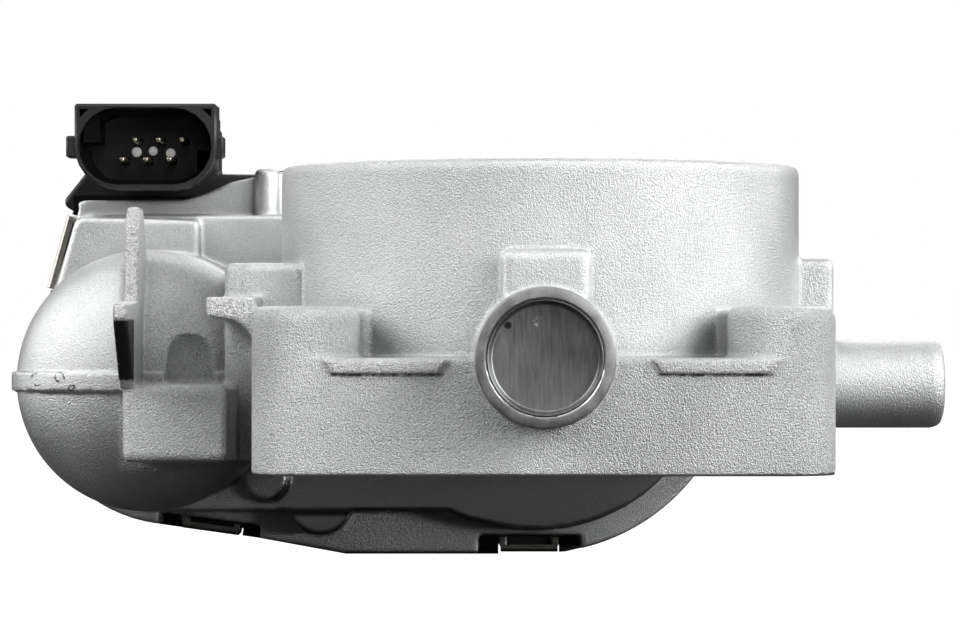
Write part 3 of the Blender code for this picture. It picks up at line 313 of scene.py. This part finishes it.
def moulded_plastic(name, dark, light, roughness, depth=0.02, scale=2200.0, glow=0.0):
    """Plastic with a fine spark-eroded texture, and slow changes of sheen from the flow of the moulding."""
    s = Shade(name)
    flow = s.noise(70.0, 3.0, 0.5)
    fine = s.noise(scale, 2.0, 0.5)
    s.set(Base_Color=s.mix(s.remap(flow, 0.3, 0.7), dark, light), Metallic=0.0)
    s.set(Roughness=s.remap(flow, 0.3, 0.7, roughness - 0.05, roughness + 0.07), Specular_IOR_Level=0.45)
    s.set(Normal=s.bump(fine, depth, 0.7))
    # Painted light: glow makes the plastic shine as if lit, though it is no lamp.
    if glow:
        s.set(Emission_Color=(0.9, 0.9, 0.88, 1.0), Emission_Strength=glow)
    return s.material


def cover_plastic(name):
    """The cover's plastic, with painted shade: flat black down in the socket and on the neck below it, where
    no light reaches.
    """
    s = Shade(name)
    flow = s.noise(70.0, 3.0, 0.5)
    # Painted shade: the socket and the neck under it are coloured near-black and made dull.
    painted_shade = s.inside((-88.0, 60.0, 40.0), (-38.0, 76.0, 49.2))
    for (start, end), half_x, half_z in (((46.0, 52.4), 12.4, 7.1), ((52.4, 59.0), 11.35, 6.1)):
        socket = s.inside((PLUG_X - half_x, start, PLUG_Z - half_z), (PLUG_X + half_x, end, PLUG_Z + half_z))
        painted_shade = s.math("ADD", painted_shade, socket, clamp=True)
    body = s.mix(s.remap(flow, 0.3, 0.7), (0.014, 0.014, 0.015), (0.024, 0.024, 0.025))
    s.set(Base_Color=s.mix(painted_shade, body, (0.003, 0.003, 0.003)), Metallic=0.0)
    rough = s.blend(painted_shade, s.remap(flow, 0.3, 0.7, 0.35, 0.47), 0.62)
    s.set(Roughness=rough, Specular_IOR_Level=s.blend(painted_shade, 0.45, 0.12))
    s.set(Normal=s.bump(s.noise(2200.0, 2.0, 0.5), 0.02, 0.7))
    return s.material


def turned_brass(name, dark, light, roughness=0.3):
    s = Shade(name)
    lines = s.noise(350.0, 3.0, 0.6, (1.0, 9.0, 1.0))
    tarnish = s.noise(60.0, 4.0, 0.6)
    s.set(Base_Color=s.mix(s.remap(tarnish, 0.35, 0.7), light, dark), Metallic=1.0)
    s.set(Roughness=s.remap(lines, 0.3, 0.7, roughness - 0.06, roughness + 0.08))
    s.set(Normal=s.bump(lines, 0.015, 0.5))
    return s.material


# ---------------------------------------------------------------- meshes


def to_local(points):
    """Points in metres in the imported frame, as millimetres from the bore's centre."""
    return points / MM - np.array([0.0, BORE_Y, 0.0])


def to_frame(points):
    return (points + np.array([0.0, BORE_Y, 0.0])) * MM


def mesh_piece(name, mesh, material):
    obj = bpy.data.objects.new(name, mesh)
    bpy.context.scene.collection.objects.link(obj)
    mesh.materials.clear()
    mesh.materials.append(material)
    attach(obj, "housing")
    return obj


def lathe(name, profile, material, axis_at, steps=128):
    """A turned piece about an axis along Y. The profile lists (radius, y) round a closed section."""
    x0, z0 = axis_at
    points, faces = [], []
    count = len(profile)
    for i in range(steps):
        a = 2 * math.pi * i / steps
        points += [(x0 + r * math.cos(a), y, z0 + r * math.sin(a)) for r, y in profile]
    for i in range(steps):
        here, after = i * count, (i + 1) % steps * count
        for j in range(count):
            k = (j + 1) % count
            faces.append((here + j, here + k, after + k, after + j))
    mesh = bpy.data.meshes.new(name)
    mesh.from_pydata([tuple(p) for p in to_frame(np.array(points))], [], faces)
    bm = bmesh.new()
    bm.from_mesh(mesh)
    bmesh.ops.remove_doubles(bm, verts=bm.verts, dist=1e-7)
    bmesh.ops.recalc_face_normals(bm, faces=bm.faces)
    bm.to_mesh(mesh)
    bm.free()
    mesh.shade_smooth()
    mesh.set_sharp_from_angle(angle=math.radians(38))
    return mesh_piece(name, mesh, material)


def box_mask(p, low, high, soft=0.4):
    """1 inside a box, falling to 0 over soft millimetres outside it."""
    outside = np.maximum(np.maximum(np.array(low) - p, p - np.array(high)), 0.0)
    return np.clip(1.0 - np.linalg.norm(outside, axis=1) / soft, 0.0, 1.0)


def radial(p, x, y):
    return np.hypot(p[:, 0] - x, p[:, 1] - y)


def about_y(p, x, z):
    return np.hypot(p[:, 0] - x, p[:, 2] - z)


def machined_mask(p):
    """Faces that a cutter made: mounting face, bores, holes, boss ring, and the case's rim and motor bay."""
    bore = (radial(p, 0, 0) < BORE_R + 0.3) & (p[:, 2] < DUCT_TOP + 1)
    flange = (np.abs(p[:, 0]) < FLANGE_HALF + 0.3) & (np.abs(p[:, 1]) < FLANGE_HALF + 0.3)
    under = (p[:, 2] < 0.25) & flange
    holes = np.zeros(len(p), bool)
    for x in (-BOLT_AT, BOLT_AT):
        for y in (-BOLT_AT, BOLT_AT):
            holes |= radial(p, x, y) < BOLT_HOLE_R
    shaft_line = (about_y(p, 0, SHAFT_Z) < PLUG_SEAT_R) & (p[:, 1] < 1 - DUCT_R)
    ring = (about_y(p, 0, SHAFT_Z) < BOSS_R + 0.2) & (p[:, 1] < BOSS_FACE_Y)
    rim = p[:, 1] > RIM_FACE_Y
    bay = (about_y(p, MOTOR_X, MOTOR_Z) < MOTOR_BAY_R) & (p[:, 1] > DOME_Y + 1)
    port = (np.hypot(p[:, 1], p[:, 2] - PORT_Z) < PORT_BORE_R) & (p[:, 0] > DUCT_R - 1)
    return bore | under | holes | shaft_line | ring | rim | bay | port


def keep_round(p):
    """Puts points that lie on faceted round walls back on the true cylinders and the dome."""
    def snap(first, second, centre, radius, where, slack=0.13):
        dx, dy = p[:, first] - centre[0], p[:, second] - centre[1]
        r = np.hypot(dx, dy)
        near = where & (np.abs(r - radius) < slack)
        p[near, first] = centre[0] + dx[near] * radius / r[near]
        p[near, second] = centre[1] + dy[near] * radius / r[near]

    z, y, x = p[:, 2], p[:, 1], p[:, 0]
    snap(0, 1, (0, 0), BORE_R, (z > 0.3) & (z < DUCT_TOP - 0.3))
    snap(0, 1, (0, 0), DUCT_R, (z > FLANGE_TOP - 1) & (z < DUCT_TOP - 1.6))
    snap(0, 2, (0, SHAFT_Z), BOSS_R, (y < -DUCT_R) & (y > BOSS_FACE_Y + 0.3))
    snap(1, 2, (0, PORT_Z), PORT_R, (x > FLANGE_HALF + 1.8) & (x < 68))
    for centre, radius in CASE_ARCS:
        snap(0, 2, centre, radius, y > CASE_WALL_Y, 0.2)
    for cx in (-BOLT_AT, BOLT_AT):
        for cy in (-BOLT_AT, BOLT_AT):
            corner = (x * cx > BOLT_AT**2) & (y * cy > BOLT_AT**2) & (z > 0.3) & (z < LUG_TOP - 2)
            snap(0, 1, (cx, cy), CORNER_R, corner)
    for proud in (0.0, BAND):
        snap(0, 2, (MOTOR_X, MOTOR_Z), BARREL_R + proud, (y > DOME_Y) & (y < CASE_WALL_Y - 2), 0.2)
        r = about_y(p, MOTOR_X, MOTOR_Z)
        ahead = np.minimum(y - DOME_Y, 0.0)
        size = np.hypot(r / (BARREL_R + proud), ahead / (DOME_DEPTH + proud))
        dome = (y <= DOME_Y) & (ahead > -DOME_DEPTH - 1.5) & (np.abs(size - 1) < 0.016)
        for i, centre in ((0, MOTOR_X), (1, DOME_Y), (2, MOTOR_Z)):
            p[dome, i] = centre + (p[dome, i] - centre) / size[dome]
    return p


def facing(p, quads):
    """Each point's normal, from the diagonals of the quads round it."""
    across = np.cross(p[quads[:, 2]] - p[quads[:, 0]], p[quads[:, 3]] - p[quads[:, 1]])
    total = np.zeros_like(p)
    for corner in range(4):
        for i in range(3):
            total[:, i] += np.bincount(quads[:, corner], across[:, i], len(p))
    return total / np.maximum(np.linalg.norm(total, axis=1, keepdims=True), 1e-9)


def smooth(p, edges, quads, hollow, ridge, steps):
    """Fillets hollows and takes the edge off ridges, each as far as its own weight allows."""
    a, b = edges[:, 0], edges[:, 1]
    count = np.bincount(a, minlength=len(p)) + np.bincount(b, minlength=len(p))
    for _ in range(steps):
        normal = facing(p, quads)
        move = np.empty_like(p)
        for i in range(3):
            total = np.bincount(a, p[b, i], len(p)) + np.bincount(b, p[a, i], len(p))
            move[:, i] = total / count - p[:, i]
        rising = np.einsum("ij,ij->i", move, normal) > 0
        p = p + move * (0.5 * np.where(rising, hollow, ridge))[:, None]
    return p


def field(p, scale, seed, detail=3):
    """Fractal noise at points in millimetres, with features about scale across."""
    at = p / scale + seed
    return np.array([noise.fractal(Vector(q), 0.7, 2.0, detail) for q in at])


def rounding(p, machined):
    """How freely each point's hollows and ridges round off. Thin walls and crisp marks keep their shape."""
    hollow, ridge = np.full(len(p), 0.35), np.full(len(p), 0.2)
    base = (radial(p, 0, 0) < DUCT_R + 5) & (p[:, 2] > FLANGE_TOP - 1.5) & (p[:, 2] < FLANGE_TOP + 2)
    hollow[base] = 0.9
    sharp = [
        ((-75, -46, 12.5), (-45, 3, 46)),         # fin, ledge and the arm's top
        ((-95, -18, 12.5), (-45, 45, 17.2)),      # parting band
        ((-56, -32, 0), (-47.5, -15, 36)),        # between the arm, the web and the flange
        ((-73, -46, -4), (-47.5, -15, 14)),       # block under the arm
        ((-37, -49.5, 16), (-15, -48.3, 18.8)),   # gate marks
        ((17, -49.5, 16), (39, -48.3, 18.8)),
        ((-100, 58, -20), (45, 80, 60)),          # clip pockets and the case's rim
    ]
    for low, high in sharp:
        share = 1 - box_mask(p, low, high, 0.6)
        hollow, ridge = np.minimum(hollow, 0.08 + 0.27 * share), np.minimum(ridge, 0.08 + 0.12 * share)
    corners = (np.abs(p[:, 0]) > 28) & (np.abs(p[:, 1]) > 28)
    ridge[corners & (p[:, 2] > LUG_TOP - 3) & (p[:, 2] < LUG_TOP + 1)] = 0.5
    hollow[machined], ridge[machined] = 0.0, 0.0
    return hollow, ridge


def casting():
    """The housing as a casting: fillets in its corners, crisp machined faces, rough torn edges."""
    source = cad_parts["housing"]
    copy = bpy.data.objects.new("casting_source", source.data.copy())
    bpy.context.scene.collection.objects.link(copy)
    weld = copy.modifiers.new("weld", "WELD")
    weld.merge_threshold = 0.01 * MM
    remesh = copy.modifiers.new("remesh", "REMESH")
    remesh.mode = "VOXEL"
    remesh.voxel_size = VOXEL * MM
    graph = bpy.context.evaluated_depsgraph_get()
    mesh = bpy.data.meshes.new_from_object(copy.evaluated_get(graph))
    mesh.name = "housing_casting"
    bpy.data.objects.remove(copy)

    flat = np.zeros(len(mesh.vertices) * 3)
    mesh.vertices.foreach_get("co", flat)
    p = to_local(flat.reshape(-1, 3))
    ends = np.zeros(len(mesh.edges) * 2, int)
    mesh.edges.foreach_get("vertices", ends)
    corners = np.zeros(len(mesh.polygons) * 4, int)
    mesh.polygons.foreach_get("vertices", corners)
    edges, quads = ends.reshape(-1, 2), corners.reshape(-1, 4)

    p = keep_round(p)
    machined = machined_mask(p)
    p = smooth(p, edges, quads, *rounding(p, machined), SMOOTH_STEPS)
    masks = {"machined": machined.astype(float)}
    p = rough_details(p, masks)
    masks["grain"] = grain_mask(p, machined)
    for name, values in masks.items():
        layer = mesh.attributes.new(name, "FLOAT", "POINT")
        layer.data.foreach_set("value", values.astype(np.float32))
    mesh.vertices.foreach_set("co", to_frame(p).ravel())
    mesh.update()
    mesh.shade_smooth()
    piece = mesh_piece("housing_casting", mesh, cast_aluminium())
    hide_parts("housing")


def rough_details(p, masks):
    """Torn gate marks, fin and ledge, flash on the band, and painted shadow: a near-black face under the fin
    and dark lines under the gate marks.
    """
    torn, dark = np.zeros(len(p)), np.zeros(len(p))
    for x0, x1 in GATE_MARKS:
        torn = np.maximum(torn, box_mask(p, (x0, -49.5, 16.8), (x1, -48.4, 19.0), 0.25) * 0.5)
    rough = [
        ((-71.5, -44, 25.9), (-67.8, -20, 29.5)),        # the fin's foot
        ((-71.5, -21.5, 28), (-67.8, -14, 45.2)),        # the fin's upright
        ((-56.2, -43, 28.4), (-55.0, -17, 30)),          # the ledge's corner
        ((-94, -12, 13.0), (-87, 10, 13.7)),             # the parting band's lower edge
        ((-56.2, -43, 26.0), (-48.9, -40.9, 29.6)),      # the ledge's front
    ]
    for low, high in rough:
        torn = np.maximum(torn, box_mask(p, low, high, 0.4))
    front = (p[:, 1] < -28) & (p[:, 2] > 14) & (p[:, 2] < 28)
    jitter = np.zeros(len(p))
    jitter[front] = field(p[front], 0.8, 3.0, 2)
    ragged = p + np.outer(jitter, (0.45, 0.0, 0.16))
    # Painted shadow: the face at the fin's foot is coloured near-black.
    dark = np.maximum(dark, box_mask(ragged, (-71.0, -43.2, 15.5), (-68.0, -30, 25.4), 0.2))
    # Painted shadow: a dark line along the lower edge of each gate mark.
    for x0, x1 in GATE_MARKS:
        line = box_mask(ragged, (x0 + 1.1, -48.9, 16.5), (x1 - 1.1, -48.1, 16.8), 0.2)
        dark = np.maximum(dark, np.clip(0.8 + 0.5 * jitter, 0, 1) * line)
    masks["flash"] = box_mask(p, (-94, -12, 13.3), (-74, 4, 16.5), 0.3)
    near = torn > 0.01
    push = field(p[near], 0.9, 7.0) * torn[near] * 0.16
    p[near] += np.outer(push, (0.35, -0.9, 0.25))
    masks["torn"], masks["dark"] = torn, dark
    return p


def grain_mask(p, machined):
    """Strength of the cast grain: strongest on the flange, arm and lugs, weaker on duct, barrel and case."""
    grain = np.full(len(p), 0.5)
    strong = [((-48.5, -60, 0), (49, -30, 28.5), 1.0), ((-72, -44, 0), (-50, 0, 46), 0.9),
              ((40, -20, 5), (72, 20, 37), 0.6)]
    for low, high, value in strong:
        grain = np.maximum(grain, box_mask(p, low, high, 2.0) * value)
    grain[(radial(p, 0, 0) < DUCT_R + 1.5) & (p[:, 2] > FLANGE_TOP - 0.5)] = 0.65
    case = box_mask(p, (-100, 40, -22), (45, 80, 60), 3.0)
    grain = grain * (1 - case) + case * 0.35
    grain[machined] = 0.0
    return grain


# ---------------------------------------------------------------- carried-over nodes


def dress(names, material, bevel_mm=0.0):
    """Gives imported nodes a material, joins their split points and takes the edge off their corners."""
    for name in names:
        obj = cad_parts[name]
        obj.data.materials.clear()
        obj.data.materials.append(material)
        weld = obj.modifiers.new("weld", "WELD")
        weld.merge_threshold = 0.005 * MM
        if bevel_mm:
            bevel = obj.modifiers.new("bevel", "BEVEL")
            bevel.width = bevel_mm * MM
            bevel.segments = 2
            bevel.limit_method = "ANGLE"
            bevel.angle_limit = math.radians(40)
        obj.data.shade_smooth()
        weighted = obj.modifiers.new("weighted", "WEIGHTED_NORMAL")
        weighted.keep_sharp = False
        weighted.weight = 80


def dress_nodes():
    plain = streaked_steel("ground_steel", (0.46, 0.46, 0.47), (0.56, 0.56, 0.57), 0.32, (1, 8, 1))
    drawn = streaked_steel("drawn_steel", (0.44, 0.44, 0.44), (0.60, 0.60, 0.61), 0.34, (1, 0.2, 1))
    spring = streaked_steel("spring_strip", (0.30, 0.285, 0.26), (0.46, 0.44, 0.41), 0.36, (1, 1, 8))
    wire = streaked_steel("spring_wire", (0.14, 0.14, 0.15), (0.24, 0.24, 0.25), 0.35, (1, 1, 1))
    rubber = moulded_plastic("seal_rubber", (0.012, 0.012, 0.012), (0.022, 0.022, 0.022), 0.72, 0.03, 1500)
    cover = cover_plastic("cover_plastic")
    inner = moulded_plastic("inner_plastic", (0.03, 0.03, 0.03), (0.045, 0.045, 0.045), 0.5)
    ivory = moulded_plastic("gear_plastic", (0.66, 0.63, 0.54), (0.74, 0.71, 0.62), 0.42, 0.01)
    brass = turned_brass("turned_brass", (0.52, 0.38, 0.18), (0.78, 0.60, 0.30))
    contact = turned_brass("contact_metal", (0.40, 0.36, 0.28), (0.66, 0.60, 0.48))
    copper = turned_brass("wound_copper", (0.50, 0.22, 0.12), (0.74, 0.38, 0.22))
    magnet = moulded_plastic("sintered_magnet", (0.05, 0.05, 0.055), (0.09, 0.09, 0.10), 0.6, 0.05, 900)
    board = moulded_plastic("board_laminate", (0.05, 0.17, 0.09), (0.08, 0.24, 0.13), 0.4, 0.01)
    clips = [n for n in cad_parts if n.startswith("cover_clip_")]
    pins = [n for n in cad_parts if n.startswith("connector_pin_")]
    dress(["idle_side_bearing", "drive_side_bearing", "drive_bearing_inner_race", "idler_pin", "motor_shaft",
           "throttle_shaft", "plate_screw_1", "plate_screw_2", "motor_screw_1", "motor_screw_2"], plain, 0.12)
    dress(["motor_can", "motor_end_plate"], drawn, 0.2)
    dress(clips, spring, 0.12)
    dress(["return_spring", "limp_home_spring", "motor_wave_spring", "closed_stop_screw"], wire)
    dress(["idle_side_seal", "drive_side_seal", "cover_gasket"], rubber)
    dress(["gear_cover"], cover, 0.25)
    dress(["spring_sleeve", "sensor_rotor", "brush_holder"], inner, 0.15)
    dress(["sector_gear", "idler_gear"], ivory, 0.08)
    dress(["throttle_plate", "motor_pinion", "motor_terminal_1", "motor_terminal_2"], brass, 0.1)
    dress(pins, contact, 0.1)
    dress(["motor_armature", "motor_commutator"], copper, 0.1)
    dress(["motor_magnet_1", "motor_magnet_2", "motor_brush_1", "motor_brush_2"], magnet, 0.2)
    dress(["sensor_board"], board, 0.1)


# ---------------------------------------------------------------- finer pieces: a turned plug in the imported plug's place, and added details


def plug_and_ring():
    """The pressed steel plug in the shaft boss, and the faced ring round it."""
    at = (0.0, SHAFT_Z)
    cup = [(0.0001, PLUG_FACE_Y), (8.45, PLUG_FACE_Y), (8.62, -56.38), (8.74, -56.5), (8.82, -56.7),
           (9.12, -57.55), (9.18, -57.66), (9.28, -57.70), (9.40, -57.66), (9.45, -57.5), (9.45, -55.0),
           (8.6, -55.0), (8.3, -55.6), (0.0001, -55.65)]
    plug = lathe("shaft_end_plug_cup", cup, plug_face(), at)
    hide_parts("shaft_end_plug")
    ring = [(9.5, -57.45), (9.72, -57.95), (9.82, -58.05), (11.15, -58.05), (11.32, -57.95), (11.42, -57.7),
            (11.44, -56.9), (11.3, -56.4), (9.5, -56.4)]
    lathe("shaft_boss_ring", ring, machined_face(), at)


def bars(name, places, material, bevel=0.25):
    """Bars with softened edges as one piece: each has its corners, its turn about Y, and its place (x, z)."""
    bm = bmesh.new()
    for low, high, turn, (x, z) in places:
        made = bmesh.ops.create_cube(bm, size=1.0)["verts"]
        spin = Matrix.Rotation(turn, 3, "Y")
        for v in made:
            v.co = spin @ Vector([(a + b) / 2 + (b - a) * c for a, b, c in zip(low, high, v.co)])
            v.co = Vector((v.co.x + x, v.co.y + BORE_Y, v.co.z + z)) * MM
    bmesh.ops.bevel(bm, geom=bm.edges[:], offset=bevel * MM, segments=2, affect="EDGES", profile=0.6)
    mesh = bpy.data.meshes.new(name)
    bm.to_mesh(mesh)
    bm.free()
    mesh.shade_smooth()
    mesh.set_sharp_from_angle(angle=math.radians(40))
    return mesh_piece(name, mesh, material)


def cover_relief():
    """Moulded relief on the back of the cover: rings on both crowns, spokes, short ribs and ejector marks."""
    black = cover_plastic("cover_relief_plastic")
    crown, motor = (0.0, SHAFT_Z), (MOTOR_X, MOTOR_Z)
    rings = (("sensor_ring_outer", crown, 22.0, SENSOR_CROWN_Y),
             ("sensor_ring_inner", crown, 12.0, SENSOR_CROWN_Y),
             ("motor_ring_outer", motor, 11.2, MOTOR_CROWN_Y),
             ("motor_ring_inner", motor, 5.0, MOTOR_CROWN_Y))
    for name, at, radius, base in rings:
        half = [(0.7, -0.1), (0.55, RING_HEIGHT - 0.15), (0.35, RING_HEIGHT)]
        profile = [(radius - out, base + up) for out, up in half]
        profile += [(radius + out, base + up) for out, up in reversed(half)]
        lathe(name, profile, black, at, steps=96)
    low, high = (12.3, SENSOR_CROWN_Y - 0.2, -0.5), (21.7, SENSOR_CROWN_Y + 0.7, 0.5)
    spokes = [(low, high, math.radians(45 * i + 22.5), crown) for i in range(8)]
    bars("sensor_crown_spokes", spokes, black)
    ribs = [((x - 0.5, COVER_BACK_Y - 0.2, -2.0), (x + 0.5, COVER_BACK_Y + 0.8, 30.0), 0.0, (0.0, 0.0))
            for x in (-44.0, -37.0, -30.0)]
    bars("cover_ribs", ribs, black)
    for i, at in enumerate(((-50.0, 36.0), (-78.0, 36.0), (-20.0, -6.0))):
        mark = [(0.0001, 0.12), (2.2, 0.12), (2.35, 0.25), (2.6, 0.25), (2.75, -0.1), (0.0001, -0.1)]
        profile = [(r, COVER_BACK_Y + up) for r, up in mark]
        lathe(f"ejector_mark_{i + 1}", profile, black, at, steps=40)


def glowing_pale_dots():
    """Three pale drops on the socket's floor, between the rows of contacts, with a faint painted glow
    standing in for light they catch.
    """
    # Painted light: the dots glow faintly, though they are no lamp.
    pale = moulded_plastic("glowing_dot_plastic", (0.80, 0.80, 0.78), (0.92, 0.92, 0.90), 0.5, 0.05, 900, 0.22)
    for i, (dx, dz, size) in enumerate(((-2.9, -0.4, 1.0), (0.2, -0.2, 0.9), (3.5, -0.6, 0.95))):
        drop = [(0.0001, -0.8), (0.45, -0.72), (0.8, -0.45), (0.95, 0.05), (0.0001, 0.05)]
        profile = [(r * size, PLUG_FLOOR_Y + y) for r, y in drop]
        lathe(f"glowing_dot_{i + 1}", profile, pale, (PLUG_X + dx, PLUG_Z + dz), steps=32)


# ---------------------------------------------------------------- stage


def aim(obj, target):
    obj.rotation_euler = (Vector(target) - obj.location).to_track_quat("-Z", "Y").to_euler()


def softbox(name, place, target, size, power):
    """A soft rectangular light. Its place, target and size are in metres."""
    data = bpy.data.lights.new(name, "AREA")
    data.shape = "RECTANGLE"
    data.size, data.size_y = size
    data.energy = power
    obj = bpy.data.objects.new(name, data)
    bpy.context.scene.collection.objects.link(obj)
    obj.location = place
    aim(obj, target)


def white_for_camera(tree, output, seen, other):
    """Shows one shader to the camera and another to every other ray."""
    path = tree.nodes.new("ShaderNodeLightPath")
    mixer = tree.nodes.new("ShaderNodeMixShader")
    tree.links.new(path.outputs["Is Camera Ray"], mixer.inputs[0])
    tree.links.new(other, mixer.inputs[1])
    tree.links.new(seen, mixer.inputs[2])
    tree.links.new(mixer.outputs[0], output)


def stage():
    scene = bpy.context.scene
    scene.view_settings.view_transform = "Standard"
    world = bpy.data.worlds.new("studio")
    scene.world = world
    world.use_nodes = True
    tree = world.node_tree
    seen = tree.nodes["Background"]
    seen.inputs["Color"].default_value = (1, 1, 1, 1)
    seen.inputs["Strength"].default_value = 1.0
    other = tree.nodes.new("ShaderNodeBackground")
    other.inputs["Color"].default_value = (1, 1, 1, 1)
    other.inputs["Strength"].default_value = 0.08
    white_for_camera(tree, tree.nodes["World Output"].inputs["Surface"], seen.outputs[0], other.outputs[0])

    low = cad_low.z - FLOOR_GAP
    bm = bmesh.new()
    bmesh.ops.create_grid(bm, x_segments=1, y_segments=1, size=6.0, matrix=Matrix.Translation((0, 0, low)))
    mesh = bpy.data.meshes.new("studio_floor")
    bm.to_mesh(mesh)
    bm.free()
    floor = bpy.data.objects.new("studio_floor", mesh)
    scene.collection.objects.link(floor)
    floor_shade = Shade("pale_floor")
    tree = floor_shade.tree
    pale = tree.nodes.new("ShaderNodeEmission")
    pale.inputs["Color"].default_value = (1, 1, 1, 1)
    pale.inputs["Strength"].default_value = 1.2
    floor_shade.set(Base_Color=(0.05, 0.05, 0.05, 1.0), Roughness=0.9, Specular_IOR_Level=0.0)
    paper = tree.nodes.new("ShaderNodeBsdfDiffuse")
    paper.inputs["Color"].default_value = (0.9, 0.9, 0.9, 1)
    both = tree.nodes.new("ShaderNodeMixShader")
    both.inputs[0].default_value = 0.1
    tree.links.new(pale.outputs[0], both.inputs[1])
    tree.links.new(paper.outputs[0], both.inputs[2])
    white_for_camera(tree, tree.nodes["Material Output"].inputs["Surface"], both.outputs[0],
                     floor_shade.shader.outputs[0])
    mesh.materials.append(floor_shade.material)

    middle = (0.0, BORE_Y * MM, 0.02)
    softbox("left_softbox", (-0.92, -0.32, 0.60), middle, (0.6, 0.7), 8.6)
    softbox("right_softbox", (0.95, -0.50, 0.50), middle, (0.7, 0.7), 14.0)
    softbox("top_softbox", (-0.1, -0.15, 1.00), middle, (0.9, 0.8), 4.5)
    softbox("back_softbox", (0.0, 1.05, 0.60), middle, (0.9, 0.5), 5.0)
    softbox("left_rim", (-1.00, 0.25, 0.25), middle, (0.25, 0.5), 2.0)
    softbox("right_rim", (1.00, 0.35, 0.40), middle, (0.4, 0.5), 3.4)
    softbox("front_fill", (0.25, -1.1, 0.50), middle, (0.7, 0.4), 1.9)
    softbox("low_fill", (0.75, -0.80, 0.05), (0.0, 0.09, -0.012), (0.4, 0.1), 1.8)

    camera = bpy.data.cameras.new("photo_camera")
    camera.sensor_width = 36.0
    camera.lens = CAMERA_LENS_MM
    camera.clip_start, camera.clip_end = 0.01, 30.0
    obj = bpy.data.objects.new("photo_camera", camera)
    scene.collection.objects.link(obj)
    obj.location = CAMERA_PLACE
    obj.rotation_euler = (math.radians(90), 0, 0)
    scene.camera = obj


casting()
plug_and_ring()
cover_relief()
glowing_pale_dots()
dress_nodes()
stage()
